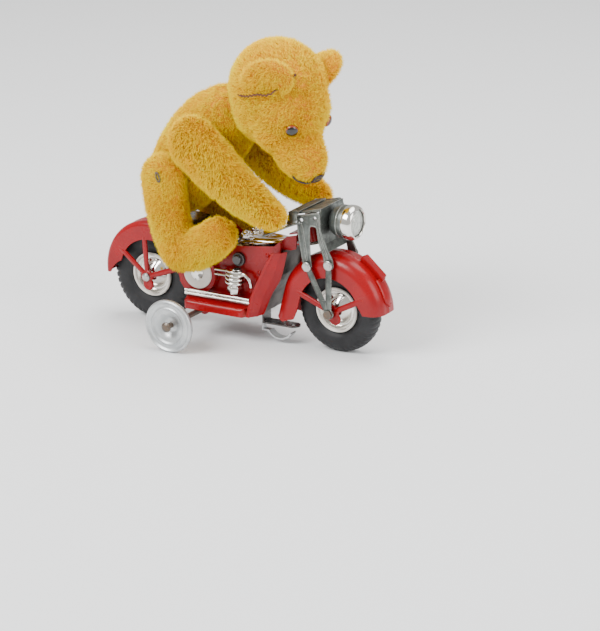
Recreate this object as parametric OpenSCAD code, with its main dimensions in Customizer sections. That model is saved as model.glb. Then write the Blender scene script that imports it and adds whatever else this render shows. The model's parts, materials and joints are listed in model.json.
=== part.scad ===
// Tin wind-up motorcycle with a jointed mohair bear as its rider.
// Forward is +X, up is +Z, and the rider's right-hand side is -Y. Millimetres.

/* [Wheels] */
// Distance between the rear axle and the front axle
wheelbase = 89; // [87:0.5:91]
// Outer radius of the rear tyre
rear_tyre_r = 19.8; // [19.4:0.1:20]
// Outer radius of the front tyre
front_tyre_r = 18; // [17.5:0.1:18.2]
// Radius of the bright ring at the edge of both rims
rim_r = 9.2; // [8.8:0.1:9.6]
// Outer radius of a stabiliser wheel
stabiliser_r = 11; // [10.5:0.1:11.5]
// Distance from the middle plane to the middle of a stabiliser wheel
stabiliser_y = 35; // [32:0.5:37]

/* [Sheet metal] */
// Thickness of the pressed tin
tin = 0.6; // [0.5:0.05:0.65]
// Half the width of the rear fender
rear_fender_half = 7.8; // [7.6:0.05:7.8]
// Half the width of the front fender
front_fender_half = 8; // [7.8:0.05:8.1]

/* [Steering] */
// Rake of the steering head from upright
rake = 14; // [12:0.5:16]
// Half the distance between the two fork legs
fork_half = 8.9; // [8.8:0.05:9]

/* [Clockwork] */
// Module of the gear teeth
gear_module = 0.6; // [0.6:0.01:0.62]
// Teeth of the pinion on the rear axle
pinion_teeth = 12; // [12:1:13]
// Teeth of the idler wheel
idler_teeth = 40; // [40:1:42]
// Teeth of the great wheel on the winding arbor
great_teeth = 36; // [36:1:38]
// Turns of the mainspring
spring_turns = 6; // [4:1:7]

/* [Rider] */
// Half the width of the bear's torso
torso_half = 12; // [10:0.5:12]
// Turn of the bear's head towards its right
head_turn = 19; // [10:1:22]

/* [Hidden] */
$fn = 64;
// the long box is centred on X = 0
running = 0.05;
axle_r = 1.2;
rear_z = rear_tyre_r;
front_z = front_tyre_r;
tyre_half = 4.2;
rear_fender_r = 22.4;
rear_fender_x = 1.3;
rear_fender_z = rear_z + 1.6;
front_fender_r = 23.3;
front_fender_x = wheelbase - 1.3;
front_fender_z = front_z + 0.3;
front_fender_tail_deg = 165;
// the long box runs from the back of the rear fender to the tab on the front one
tab_deg = [8, 37];
rear_end = rear_fender_x - rear_fender_r;
front_end = front_fender_x + (front_fender_r + 1) * cos(tab_deg[0]);
origin_x = (rear_end + front_end) / 2;
shell_y = rear_fender_half;
floor_z = 12.4;
tongue_z = 8;
// engine, gearbox and winding arbor
ring_x = 27.7;
ring_z = 26.6;
engine_x = 45;
arbor_x = 37.5;
arbor_z = 27.5;
arbor_r = 1.5;
gear_y = 4.9;
gear_w = 1.2;
pinion_pitch_r = pinion_teeth * gear_module / 2;
idler_pitch_r = idler_teeth * gear_module / 2;
great_pitch_r = great_teeth * gear_module / 2;
// the idler sits where both centre distances are met
arbor_span = norm([arbor_x, arbor_z - rear_z]);
arbor_dir = atan2(arbor_z - rear_z, arbor_x);
near_span = pinion_pitch_r + idler_pitch_r;
far_span = idler_pitch_r + great_pitch_r;
idler_bend = acos((near_span ^ 2 + arbor_span ^ 2 - far_span ^ 2) / (2 * near_span * arbor_span));
idler_dir = arbor_dir - idler_bend;
idler_x = near_span * cos(idler_dir);
idler_z = rear_z + near_span * sin(idler_dir);
great_dir = atan2(arbor_z - idler_z, arbor_x - idler_x);
// filler caps on the tank
cap_x = 47.6;
cap_y = 4.2;
cap_z = 43.2;
// steering axis
head_x = 76;
head_z = 50;
stem_r = 1.6;
bolt_a = [79.3, 36.5];
bolt_b = [89.2, 38.4];
lamp_z = 54.3;
lamp_x = 85.4;
// stabiliser axle
stabiliser_x = 29;
stabiliser_z = stabiliser_r;
stabiliser_w = 3;
pin_r = 1.2;
// rider
hip = [16.5, 67];
shoulder = [33, 83];
neck = [44, 0, 95];
neck_tilt = 53;
head = [62, 0, 105.3];
limb_y = 18.2;
limb_w = 11.4;
cotter_r = 1.2;

// ---- shared shapes ----

// moves the bike so that its box is centred
module placed() {
    translate([-origin_x, 0, 0]) children();
}

// what is drawn for the right-hand side, put on the side s (-1 right, 1 left)
module on_side(s) {
    mirror([0, s > 0 ? 1 : 0, 0]) children();
}

// local +Z becomes -Y, local +Y becomes +Z, about the point (x, z)
module along_y(x, z) {
    translate([x, 0, z]) rotate([90, 0, 0]) children();
}

// a flat plate in the XZ plane, from y0 outwards to the right
module side_plate(y0, t) {
    translate([0, -y0, 0]) rotate([90, 0, 0]) linear_extrude(height = t) children();
}

// a cylinder across the bike between two distances to the right of the middle
module cross_pin(x, z, r, y0, y1) {
    along_y(x, z) translate([0, 0, y0]) cylinder(r = r, h = y1 - y0);
}

// a washer across the bike
module cross_ring(x, z, r_out, r_in, y0, y1) {
    along_y(x, z) translate([0, 0, y0]) difference() {
        cylinder(r = r_out, h = y1 - y0);
        translate([0, 0, -1]) cylinder(r = r_in, h = y1 - y0 + 2);
    }
}

// a round-ended bar in a plane, from point a to point b
module bar(a, b, w) {
    d = b - a;
    translate(a) rotate(atan2(d[1], d[0])) {
        translate([0, -w / 2]) square([norm(d), w]);
        circle(d = w);
        translate([norm(d), 0]) circle(d = w);
    }
}

// half of a fender's cross-section: x is the radius, y the distance from the middle
module fender_section(crown, side_in, half, shoulder) {
    difference() {
        union() {
            translate([side_in, 0]) square([crown - shoulder - side_in, half]);
            translate([side_in, 0]) square([crown - side_in, half - shoulder]);
            translate([crown - shoulder, half - shoulder]) circle(r = shoulder);
        }
        translate([side_in - 1, -1]) square([crown - shoulder - side_in + 1, half - tin + 1]);
        translate([side_in - 1, -1]) square([crown - tin - side_in + 1, half - shoulder + 1]);
        translate([crown - shoulder, half - shoulder]) circle(r = shoulder - tin);
        // nothing past the middle plane
        translate([side_in - 1, -shoulder]) square([crown, shoulder]);
    }
}

// a part of a turn of a section about an axis across the bike
module swept_arc(x, z, from, to) {
    along_y(x, z) rotate([0, 0, from]) rotate_extrude(angle = to - from) children();
}

// a spur wheel's outline: tooth flanks are straight and the gap is a little wide
module gear_outline(teeth, turn) {
    pitch = teeth * gear_module / 2;
    tip = pitch + gear_module * 0.9;
    root = pitch - gear_module * 1.15;
    step = 360 / teeth;
    rotate(turn) union() {
        circle(r = root);
        for (i = [0 : teeth - 1]) rotate(i * step)
            polygon([[root - 0.3, -pitch * sin(step * 0.3)], [pitch, -pitch * sin(step * 0.215)],
                [tip, -tip * sin(step * 0.1)], [tip, tip * sin(step * 0.1)],
                [pitch, pitch * sin(step * 0.215)], [root - 0.3, pitch * sin(step * 0.3)]]);
    }
}

// a spur wheel across the bike on the left, with its bore
module left_gear(x, z, teeth, turn, bore) {
    translate([x, gear_y + gear_w, z]) rotate([90, 0, 0]) linear_extrude(height = gear_w)
        difference() {
            gear_outline(teeth, turn);
            circle(r = bore);
        }
}

// a soft disc across the bike: plain stand-in for a stuffed limb
module pad(x, z, r, y_mid, w) {
    translate([x, -y_mid, z]) rotate([90, 0, 0]) {
        cylinder(r = r, h = w * 0.5, center = true, $fn = 28);
        cylinder(r = r * 0.75, h = w, center = true, $fn = 28);
    }
}

// ---- body ----

module shell_outline() {
    polygon([[17, 21], [21.5, 14.6], [25, 12.5], [56, 12.5], [60, 20], [65, 30], [69.2, 40.8],
        [72.2, 41.8], [72.6, 47.6], [68, 46.5], [63, 42], [45, 39.8], [39, 40.2], [35, 43.2],
        [22, 43.2], [17.6, 36]]);
}

module body_shell(s) {
    on_side(s) color("firebrick") difference() {
        union() {
            side_plate(shell_y, tin) intersection() {
                shell_outline();
                square([66, 60]);
            }
            // the nose is drawn in towards the steering bush
            side_plate(6, tin) intersection() {
                shell_outline();
                translate([65.4, 41]) square([10, 10]);
            }
            translate([65.4, -shell_y - tin, 41]) cube([tin, shell_y + tin - 6, 2.6]);
            // raised boss under the gearbox ring
            along_y(ring_x, ring_z) translate([0, 0, shell_y]) difference() {
                cylinder(r = 8.4, h = 3);
                translate([0, 0, -0.01]) cylinder(r = 7.8, h = 2.4);
            }
        }
        // passage for the winding arbor on the left
        if (s > 0) cross_pin(arbor_x, arbor_z, 2.2, 5, 14);
        // seat of the stabiliser bracket
        for (x = [27, 31]) cross_pin(x, 14.6, 0.5, 7, 9);
        // upper rivets of the body
        for (p = [[60, 38], [56, 30]]) cross_pin(p[0], p[1], 0.5, 7, 9);
    }
}

// a leg shield runs from the nose out to the front end of the footboard
module leg_shield(s) {
    front = [[69.6, 8.4, 40.6], [66.2, 8.4, 29.3], [61.8, 8.4, 21.8], [57.6, 8.4, 12.6]];
    outer = [[64, 12.2, 40.4], [59.4, 12.8, 31.4], [54.6, 14, 20.2], [53.8, 15.8, 12.6]];
    on_side(s) color("firebrick") for (i = [0 : 2]) hull() for (j = [i, i + 1])
        for (p = [front[j], outer[j]]) translate([p[0], -p[1] - 0.45, p[2]])
            cube([0.7, 0.7, 0.02], center = true);
}

module footboard_section() {
    polygon([[8.45, 17.4], [11.6, 16.9], [14, 15.4], [15.6, 14.9], [16, 14.4], [16, 12.2],
        [15.4, 12.2], [15.4, 14.1], [13.8, 14.7], [11.4, 16.2], [8.45, 16.7]]);
}

module footboard(s) {
    // the section's x becomes the distance outwards
    on_side(s) color("firebrick") translate([22.8, 0, 0])
        multmatrix([[0, 0, 1, 0], [-1, 0, 0, 0], [0, 1, 0, 0], [0, 0, 0, 1]])
        linear_extrude(height = 30) footboard_section();
}

module rear_fender(s) {
    hub_lobe = [0.4, rear_z - 3.2];
    inner = 14.5;
    on_side(s) color("firebrick") difference() {
        union() {
            difference() {
                swept_arc(rear_fender_x, rear_fender_z, -2, 186)
                    fender_section(rear_fender_r, inner, rear_fender_half, 2.2);
                // the side wall runs out to a point at the tail
                side_plate(rear_fender_half - 2.2, 4) polygon([[-12.5, 14], [-12.5, 28],
                    [-15.8, 24.6], [-19.2, 18.6], [-18, 14]]);
            }
            side_plate(rear_fender_half - tin, tin) intersection() {
                union() {
                    for (turn = [20, 93, 141])
                        bar([0, rear_z], [0, rear_z] + 17.6 * [cos(turn), sin(turn)], 2.1);
                    translate([0, rear_z]) circle(r = 2.7);
                    translate(hub_lobe) circle(r = 2.5);
                }
                translate([rear_fender_x, rear_fender_z]) circle(r = inner + 0.3);
            }
        }
        cross_pin(0, rear_z, axle_r + running, 5, 10);
        // window for the gear train and the motor plate on the left
        if (s > 0) translate([14, -rear_fender_half + tin, 8]) cube([14, 2.8, 34]);
    }
}

module base_plate() {
    color("black") difference() {
        union() {
            translate([24.6, -shell_y + 0.02, floor_z]) cube([31.6, 2 * shell_y - 0.04, tin]);
            // tongue above the thumb piece of the lever
            translate([55.6, -6.6, tongue_z]) cube([tin, 6, floor_z - tongue_z + 0.1]);
            translate([55.6, -6.6, tongue_z]) cube([13, 6, tin]);
            translate([68.6, -3.6, tongue_z]) cylinder(r = 3, h = tin);
        }
        translate([68.6, -3.6, 5]) cylinder(r = 1.1, h = 6);
        translate([51, -2.4, 5]) cylinder(r = 1, h = 10);
    }
}

// curved plate between the leg shields, behind the front fender
module front_closing_plate() {
    color("saddlebrown") side_plate(-7.7, 15.4)
        polygon([[67, 40.6], [64.2, 29.6], [60, 21.6], [56.6, 13.1],
            [57.3, 13.1], [60.7, 21.6], [64.9, 29.6], [67.7, 40.6]]);
}

module tank_cover() {
    color("silver") difference() {
        union() {
            // flat rim
            hull() {
                translate([47, 0, 40.3]) cylinder(r = 8.2, h = 0.7, $fn = 32);
                translate([63.4, 0, 42.3]) rotate([0, -8, 0]) cylinder(r = 4.6, h = 0.7, $fn = 32);
            }
            // domed top
            hull() {
                translate([47, 0, 41]) cylinder(r = 7.2, h = 0.2, $fn = 32);
                translate([48, 0, 41]) cylinder(r = 4.8, h = 2, $fn = 32);
                translate([61.6, 0, 42.8]) cylinder(r = 2.4, h = 1.6, $fn = 32);
            }
        }
        // seats of the filler caps
        for (s = [-1, 1]) translate([cap_x, s * cap_y, cap_z]) cylinder(r = 2.6, h = 3);
    }
}

module filler_caps() {
    color("silver") for (s = [-1, 1]) translate([cap_x, s * cap_y, cap_z]) difference() {
        union() {
            cylinder(r = 2.4, h = 1.6);
            cylinder(r = 1.8, h = 2.4);
        }
        for (i = [0 : 11]) rotate(i * 30) translate([2.45, 0, -1]) cylinder(r = 0.25, h = 5);
    }
}

module saddle() {
    color("black") hull() {
        translate([17, 0, 44.6]) cylinder(r = 7.6, h = 2, $fn = 32);
        translate([35, 0, 43.4]) cylinder(r = 3.6, h = 1.6, $fn = 32);
    }
}

module gearbox_rings() {
    color("ivory") for (s = [-1, 1]) on_side(s)
        cross_ring(ring_x, ring_z, 6.6, 2.9, 10.8, 11.5);
}

module gearbox_bosses() {
    color("silver") for (s = [-1, 1]) on_side(s) along_y(ring_x, ring_z)
        translate([0, 0, 10.8]) rotate_extrude() polygon([[0, 0], [2.9, 0], [2.9, 0.8],
            [2.2, 1.1], [1, 1.3], [0, 1.3]]);
}

// chrome cylinder with fins, its nut and the pipes that leave it
module engine(s) {
    on_side(s) color("silver") {
        intersection() {
            translate([engine_x, -10.6, 20.6]) rotate([0, 6, 0]) {
                cylinder(r = 2.6, h = 10.6);
                cylinder(r = 2.9, h = 3, $fn = 6);
                for (i = [0 : 3]) translate([0, 0, 4.4 + i * 1.7]) cylinder(r = 4.2, h = 0.9);
            }
            // flat against the body
            translate([engine_x - 10, -30, 15]) cube([20, 30 - shell_y - tin, 25]);
        }
        // two pipes towards the gearbox; on the left the winding arbor takes their place
        if (s < 0) for (z = [27.6, 29.6]) translate([ring_x + 8.6, -11.2, z]) rotate([0, 90, 0])
            cylinder(r = 0.55, h = engine_x - ring_x - 9.6);
        // front pipe
        translate([engine_x + 3.2, -11.2, 24.2]) rotate([90, 0, 0]) rotate_extrude(angle = 95)
            translate([5.4, 0]) circle(r = 0.8);
    }
}

// twin pipes on each side, with the two straps that hold them to the body
module exhaust_pipes() {
    color("silver") for (s = [-1, 1]) on_side(s) {
        for (z = [17.9, 19.3]) translate([22.6, -12.9, z]) rotate([0, 90, 0])
            cylinder(r = 0.65, h = 31);
        for (x = [22.6, 44]) translate([x, -12.9, 17.9])
            cube([1.2, 12.9 - shell_y - tin, 1]);
    }
}

module air_cleaners() {
    color("black") for (s = [-1, 1]) on_side(s)
        translate([46.6, 0, 34.6]) rotate([90, 0, 0]) translate([0, 0, shell_y + tin]) {
            cylinder(r = 2.9, h = 1.4);
            cylinder(r = 2, h = 2.6);
        }
}

module motor_outline() {
    polygon([[25.4, 13.2], [48.2, 13.2], [51.6, 17.4], [52.4, 20], [52.4, 39], [25.4, 39],
        [24.2, 30], [24.2, 18]]);
}

module pillar_holes() {
    for (p = pillar_places()) translate(p) circle(r = 0.8);
}

function pillar_places() = [[27.6, 37.2], [50, 36.6], [48.6, 15.4], [29.6, 14.9]];

module motor_plate_right() {
    color("silver") side_plate(4.6, tin) difference() {
        motor_outline();
        translate([arbor_x, arbor_z]) circle(r = arbor_r + running);
        pillar_holes();
    }
}

module motor_plate_left() {
    color("silver") on_side(1) side_plate(6.5, tin) difference() {
        union() {
            motor_outline();
            bar([0, rear_z], [idler_x, idler_z], 6);
            bar([idler_x, idler_z], [27, 26], 6);
        }
        translate([arbor_x, arbor_z]) circle(r = arbor_r + running);
        translate([0, rear_z]) circle(r = axle_r + running);
        translate([idler_x, idler_z]) circle(r = 0.8);
        pillar_holes();
    }
}

// shouldered pillars, and the stud of the idler wheel
module motor_pillars() {
    color("silver") {
        for (p = pillar_places()) {
            cross_pin(p[0], p[1], 1.2, -6.5, 4.6);
            cross_pin(p[0], p[1], 0.8, -7.1, -6.5);
            cross_pin(p[0], p[1], 0.8, 4.6, 5.2);
        }
        cross_pin(idler_x, idler_z, 1.2, -6.5, -4.7);
        cross_pin(idler_x, idler_z, 1.9, -4.75, -4.45);
        cross_pin(idler_x, idler_z, 0.8, -7.1, -6.5);
    }
}

// a spiral of half turns: each half turn is centred half a step from the last
module mainspring() {
    step = 1.24;
    start = 2.3;
    color("steelblue") side_plate(-3.8, 7.4) {
        for (i = [0 : 2 * spring_turns - 1])
            translate([arbor_x + (i % 2 == 0 ? 0 : step / 2), arbor_z]) difference() {
                intersection() {
                    difference() {
                        circle(r = start + i * step / 2 + 0.45);
                        circle(r = start + i * step / 2);
                    }
                    translate([-20, i % 2 == 0 ? -0.03 : -20]) square([40, 20.03]);
                }
            }
        // the outer end is hooked to the lower front pillar
        translate([arbor_x + start + spring_turns * step, arbor_z - 11]) square([0.45, 11]);
    }
}

module body_rivets() {
    color("firebrick") for (s = [-1, 1]) on_side(s)
        for (p = [[60, 38], [56, 30]]) {
            cross_pin(p[0], p[1], 0.5, shell_y, shell_y + tin);
            along_y(p[0], p[1]) translate([0, 0, shell_y + tin]) intersection() {
                translate([0, 0, -0.6]) sphere(r = 1.2);
                cylinder(r = 2, h = 2);
            }
        }
}

module on_steering_axis() {
    translate([head_x, 0, head_z]) rotate([0, -rake, 0]) children();
}

module steering_bush() {
    color("firebrick") on_steering_axis() difference() {
        union() {
            translate([0, 0, -5.6]) cylinder(r = 2.9, h = 8);
            translate([-7.6, -5.9, -5.6]) cube([5.6, 11.8, tin]);
            translate([-7.6, -5.9, -1]) cube([5.6, 11.8, tin]);
        }
        translate([0, 0, -8]) cylinder(r = stem_r + running, h = 14);
    }
}

// lugs below the body that hold the stabiliser axle
module stabiliser_bracket() {
    color("firebrick") for (s = [-1, 1]) on_side(s) {
        side_plate(shell_y + tin, 0.8) difference() {
            translate([stabiliser_x, stabiliser_z]) union() {
                circle(r = 2.6);
                polygon([[-2.6, 0], [2.6, 0], [3.4, 5], [-3.4, 5]]);
            }
            translate([stabiliser_x, stabiliser_z]) circle(r = pin_r);
        }
        for (x = [27, 31]) cross_pin(x, 14.6, 0.5, shell_y, shell_y + tin);
    }
}

module stabiliser_axle() {
    reach = stabiliser_y + stabiliser_w / 2;
    color("dimgray") {
        cross_pin(stabiliser_x, stabiliser_z, pin_r, -reach - 0.5, reach + 0.5);
        for (s = [-1, 1]) on_side(s) {
            along_y(stabiliser_x, stabiliser_z) translate([0, 0, reach + 0.3]) rotate_extrude()
                polygon([[0, 0], [2.1, 0], [2.1, 0.5], [1.3, 1.1], [0, 1.2]]);
            cross_ring(stabiliser_x, stabiliser_z, 2, pin_r, reach - 4.2, reach - 3.3);
        }
    }
}

// ---- rear wheel and clockwork ----

module rear_axle() {
    color("silver") {
        cross_pin(0, rear_z, axle_r, -8.4, 8.4);
        for (s = [-1, 1]) on_side(s) along_y(0, rear_z) translate([0, 0, 8.1]) rotate_extrude()
            polygon([[0, 0], [1.9, 0], [1.7, 0.6], [0.9, 1], [0, 1.1]]);
    }
}

module rear_pinion() {
    color("goldenrod") left_gear(0, rear_z, pinion_teeth, arbor_dir - idler_bend + 15, axle_r);
}

// half of a rim's section: x is the radius, y the distance from the middle plane
function rim_half(bore) = [[bore, 4.4], [2.6, 4.4], [3, 3.9], [5.2, 2.9], [6.4, 1.4], [7, 1.5],
    [7.9, 3.5], [8.6, 4.3], [9, 4.3], [rim_r, 3.9], [rim_r, 3.5], [8.2, 2.4], [7.6, 0]];

// a half section followed by its mirror image, as one closed outline
function both_halves(half) = concat(half,
    [for (i = [len(half) - 2 : -1 : 0]) [half[i][0], -half[i][1]]]);

module rim(x, z, bore) {
    color("ivory") along_y(x, z) rotate_extrude() polygon(both_halves(rim_half(bore)));
}

module tyre(x, z, r) {
    round = 5.4;
    seat = [[r - round + 1, tyre_half], [r - round, tyre_half], [rim_r, 3.9], [rim_r, 3.5],
        [8.2, 2.4], [7.6, 0]];
    color([0.12, 0.12, 0.12]) along_y(x, z) rotate_extrude() union() {
        polygon(both_halves(seat));
        intersection() {
            translate([r - round, 0]) circle(r = round);
            translate([r - round, -tyre_half]) square([round + 1, 2 * tyre_half]);
        }
    }
}

module rear_rim() {
    rim(0, rear_z, axle_r);
}

module rear_tyre() {
    tyre(0, rear_z, rear_tyre_r);
}

module idler_wheel() {
    color("goldenrod") left_gear(idler_x, idler_z, idler_teeth, idler_dir + 180, 1.25);
}

// how far past a tooth of the idler the great wheel is met, in the great wheel's own turn
function mesh_great() = let (off = (great_dir - idler_dir - 180) * idler_teeth / 360)
    (off - floor(off)) * 360 / great_teeth;

// the great wheel carries the click that lets the arbor be wound one way only
module great_wheel() {
    color("goldenrod") {
        left_gear(arbor_x, arbor_z, great_teeth,
            great_dir + 180 + 180 / great_teeth + mesh_great(), arbor_r + running);
        translate([0, gear_y, 0]) along_y(arbor_x, arbor_z) linear_extrude(height = 0.5)
            intersection() {
                difference() {
                    circle(r = 5.6);
                    circle(r = 4.1);
                }
                polygon([[0, 0], [9, -1], [9, 6]]);
            }
    }
}

module winding_arbor() {
    color("silver") {
        cross_pin(arbor_x, arbor_z, arbor_r, -13.4, 5.6);
        translate([arbor_x - 1, 13.3, arbor_z - 1]) cube([2, 3, 2]);
        // ratchet wheel
        translate([0, gear_y, 0]) along_y(arbor_x, arbor_z) linear_extrude(height = 0.5) union() {
            circle(r = 3.3);
            for (i = [0 : 11]) rotate(i * 30) polygon([[2.8, -0.6], [3.9, -0.6], [3.1, 0.9], [2.8, 0.9]]);
        }
    }
}

// key: a socket on the square of the arbor and a flat pair of wings
module winding_key() {
    color("silver") difference() {
        union() {
            cross_pin(arbor_x, arbor_z, 2, -18.05, -13.4);
            on_side(1) side_plate(18, 1) difference() {
                union() {
                    for (s = [-1, 1]) translate([arbor_x + s * 2.4, arbor_z]) circle(r = 2.1);
                    translate([arbor_x - 2, arbor_z - 2]) square([4, 4]);
                }
                for (s = [-1, 1]) translate([arbor_x + s * 2.9, arbor_z]) circle(r = 0.9);
            }
        }
        translate([arbor_x - 1.02, 12, arbor_z - 1.02]) cube([2.04, 4.3, 2.04]);
    }
}

// lever below the floor with a spoon-shaped thumb piece
module start_stop_lever() {
    color("silver") {
        translate([51, -2.4, floor_z - 1.1]) {
            cylinder(r = 2.4, h = 0.8);
            cylinder(r = 0.92, h = 2.6);
            translate([0, 0, 2]) cylinder(r = 1.8, h = 0.6);
            translate([0, -2.4, 0]) cube([3.9, 2.4, 0.6]);
        }
        translate([54.3, -4.8, 4.3]) cube([0.6, 2.4, floor_z - 5]);
        translate([54.3, -4.8, 4.3]) cube([3.7, 2.4, 0.6]);
        // spoon
        translate([63, -1.6, 8.4]) rotate([90, 0, 0]) linear_extrude(height = 4) difference() {
            intersection() {
                circle(r = 6.6);
                polygon([[0, 0], [-7.4, -5.2], [-7.4, -9], [7.4, -9], [7.4, -4.6]]);
            }
            circle(r = 6);
        }
    }
}

module stabiliser_wheel(s) {
    on_side(s) color("silver") along_y(stabiliser_x, stabiliser_z)
        translate([0, 0, stabiliser_y]) difference() {
            rotate_extrude() polygon([[pin_r + running, -1.5], [3, -1.5], [4.4, -0.4], [6.4, 0.3],
                [7.6, 0.5], [9.4, -0.4], [10.2, -1.4], [10.8, -1.2], [stabiliser_r, 0],
                [10.7, 1.1], [9.9, 1.5], [8.8, 1], [7.8, 1.1], [7.1, 1.5], [6.3, 1.2],
                [4.6, 0.5], [3, 0.1], [2.6, 0.3], [pin_r + running, 0.4]]);
        }
}

// ---- steering ----

// one side of the fork: two legs with a window between them
module fork_side(s) {
    on_side(s) color("slategray") side_plate(fork_half, 0.7) difference() {
        polygon([[74.4, 56.9], [85.2, 59.5], [85.6, 52], [88.4, 45.4], [91, 40.4], [91.2, 37.4],
            [89.8, 36.4], [88, 36.6], [87.2, 38.4], [86.6, 42], [84.6, 47], [83.6, 53.4], [80.6, 53.4],
            [80.4, 48], [80.6, 41], [81.2, 36.6], [80.4, 35], [78.6, 34.8], [77.4, 36.2],
            [76.6, 40.5], [75.2, 48.6]]);
        for (p = [bolt_a, bolt_b]) translate(p) circle(r = 1);
        for (p = [[76.8, 55.4], [83, 56.8]]) translate(p) circle(r = 0.7);
    }
}

// one bent strip: the wall behind the headlamp and the top that holds the stem
module fork_apron() {
    color("slategray") difference() {
        side_plate(-fork_half, 2 * fork_half) polygon([[72.6, 56.9], [84.6, 59.9], [84.6, 45.4],
            [86.2, 42.2], [87, 42.5], [85.4, 45.7], [85.4, 60.96], [72.4, 57.73]]);
        on_steering_axis() cylinder(r = stem_r, h = 20);
    }
}

module fork_links() {
    color("slategray") for (s = [-1, 1]) on_side(s) side_plate(9.7, 0.8) difference() {
        union() {
            bar(bolt_a, [wheelbase - 0.3, front_z], 2.7);
            bar(bolt_b, [wheelbase - 0.1, front_z], 2.7);
            translate([wheelbase, front_z]) circle(r = 2);
        }
        for (p = [bolt_a, bolt_b]) translate(p) circle(r = 1);
        translate([wheelbase, front_z]) circle(r = 1.1);
    }
}

module fork_bolts() {
    color("dimgray") for (s = [-1, 1]) on_side(s) for (p = [bolt_a, bolt_b]) {
        cross_pin(p[0], p[1], 1, front_fender_half, 10.5);
        cross_pin(p[0], p[1], 1.9, 10.5, 11.3);
    }
}

module steering_stem() {
    color("dimgray") on_steering_axis() {
        translate([0, 0, -6.4]) cylinder(r = stem_r, h = 15);
        translate([0, 0, -7]) cylinder(r = 2.4, h = 0.8);
        translate([0, 0, 8.5]) cylinder(r = 2.4, h = 0.7);
    }
}

// flat strip across the fork with swept-back ends and the two hand levers
module handlebar() {
    color("slategray") {
        on_steering_axis() difference() {
            translate([-3.4, -10.1, 8.5]) cube([6.8, 20.2, 0.8]);
            cylinder(r = 2.4, h = 20);
        }
        for (s = [-1, 1]) on_side(s) {
            hull() {
                translate([73.8, -9.9, 58.2]) cube([4.4, 0.6, 0.8], center = true);
                translate([74.4, -13.6, 54.4]) cube([4, 0.6, 0.8], center = true);
            }
            hull() {
                translate([74.4, -13.6, 54.2]) cube([3.4, 0.6, 1], center = true);
                translate([63, -16.6, 48.4]) cube([1, 3, 0.8], center = true);
            }
        }
        // far lever, with its eye and round end
        difference() {
            translate([76.2, 12, 57.6]) rotate([0, -14, 0]) union() {
                translate([-1.2, -1.6, 0]) cube([4.8, 3.2, 0.8]);
                translate([4.4, 0, 0]) cylinder(r = 1.9, h = 0.8);
            }
            translate([78, 12, 55]) cylinder(r = 0.9, h = 6);
        }
        translate([75.4, 10.4, 55.9]) cube([1.2, 3.2, 1.9]);
        // near lever, bent forwards
        translate([73, -16.4, 53.3]) rotate([0, -20, 0]) cube([7.4, 2.8, 0.8]);
    }
}

module headlamp_shell() {
    color("gray") translate([lamp_x, 0, lamp_z]) rotate([0, 90, 0]) difference() {
        rotate_extrude() polygon([[0, 0], [3.4, 0], [5.2, 0.9], [6.3, 2.6], [6.7, 4.6], [6.8, 7.4],
            [0, 7.4]]);
        translate([0, 0, 2.2]) cylinder(r1 = 3.6, r2 = 6, h = 5.3);
    }
}

module headlamp_bezel() {
    color("silver") translate([lamp_x + 7.4, 0, lamp_z]) rotate([0, 90, 0])
        rotate_extrude() polygon([[6, 0], [6.9, 0], [7.1, 0.5], [7.1, 2], [6.8, 3.3], [6.1, 4.3],
            [5.4, 4.5], [5.4, 3.9], [6, 3.4]]);
}

module headlamp_lens() {
    color([0.9, 0.92, 0.88, 0.6]) translate([lamp_x + 10.3, 0, lamp_z]) rotate([0, 90, 0])
        intersection() {
            cylinder(r = 5.38, h = 3);
            translate([0, 0, -10.6]) sphere(r = 12.4);
        }
}

module front_fender(s) {
    tail = front_fender_tail_deg;
    inner = 13.8;
    lap = 0.1;
    axle = [wheelbase, front_z];
    on_side(s) color("firebrick") difference() {
        union() {
            swept_arc(front_fender_x, front_fender_z, 2, tail)
                fender_section(front_fender_r, inner, front_fender_half, 5.2);
            // straight tail, set in a little so that it laps inside the arc
            intersection() {
                along_y(front_fender_x, front_fender_z) rotate([0, 0, tail - 1])
                    rotate([90, 0, 0]) translate([0, 0, -15]) linear_extrude(height = 15)
                    fender_section(front_fender_r - lap, inner, front_fender_half - lap, 5.2);
                side_plate(-1, 12) polygon([[60, 30], [60, 12.4], [62.2, 10.8], [66, 10.6],
                    [69.6, 12.2], [72.4, 16], [76, 26], [76, 30]]);
            }
            // stays that end inside the side wall, and the plate round the axle
            side_plate(front_fender_half - tin + lap / 2, tin - lap) {
                bar(axle, axle + 16.5 * [cos(158), sin(158)], 2.2);
                bar(axle, axle + 15.5 * [cos(27), sin(27)], 2.2);
                translate(axle) circle(r = 3);
                translate(axle + [1.6, -2.6]) circle(r = 2.6);
            }
        }
        cross_pin(axle[0], axle[1], 1.1, 5, 12);
    }
}

// upright plate along the crown, and the tab at its tip
module number_plate() {
    plate_tall = 5.8;
    color("firebrick") {
        side_plate(-0.7, 1.4) difference() {
            translate([front_fender_x, front_fender_z]) rotate(48.5) translate([21, -5.4]) union() {
                square([plate_tall, 10.8]);
                translate([0, -1]) square([plate_tall - 1, 12.8]);
                for (y = [0, 10.8]) translate([plate_tall - 1, y]) circle(r = 1);
            }
            translate([front_fender_x, front_fender_z]) circle(r = front_fender_r);
        }
        along_y(front_fender_x, front_fender_z) rotate([0, 0, tab_deg[0]])
            rotate_extrude(angle = tab_deg[1] - tab_deg[0])
            translate([front_fender_r, -2.8]) difference() {
                square([1, 5.6]);
                translate([0.7, 2.5]) square([1, 0.6]);
            }
    }
}

module front_axle() {
    color("dimgray") {
        cross_pin(wheelbase, front_z, 1.1, -11.2, 11.2);
        for (s = [-1, 1]) on_side(s) along_y(wheelbase, front_z)
            translate([0, 0, 10.5]) cylinder(r = 2, h = 1, $fn = 6);
    }
}

module front_rim() {
    rim(wheelbase, front_z, 1.1 + running);
}

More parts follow.
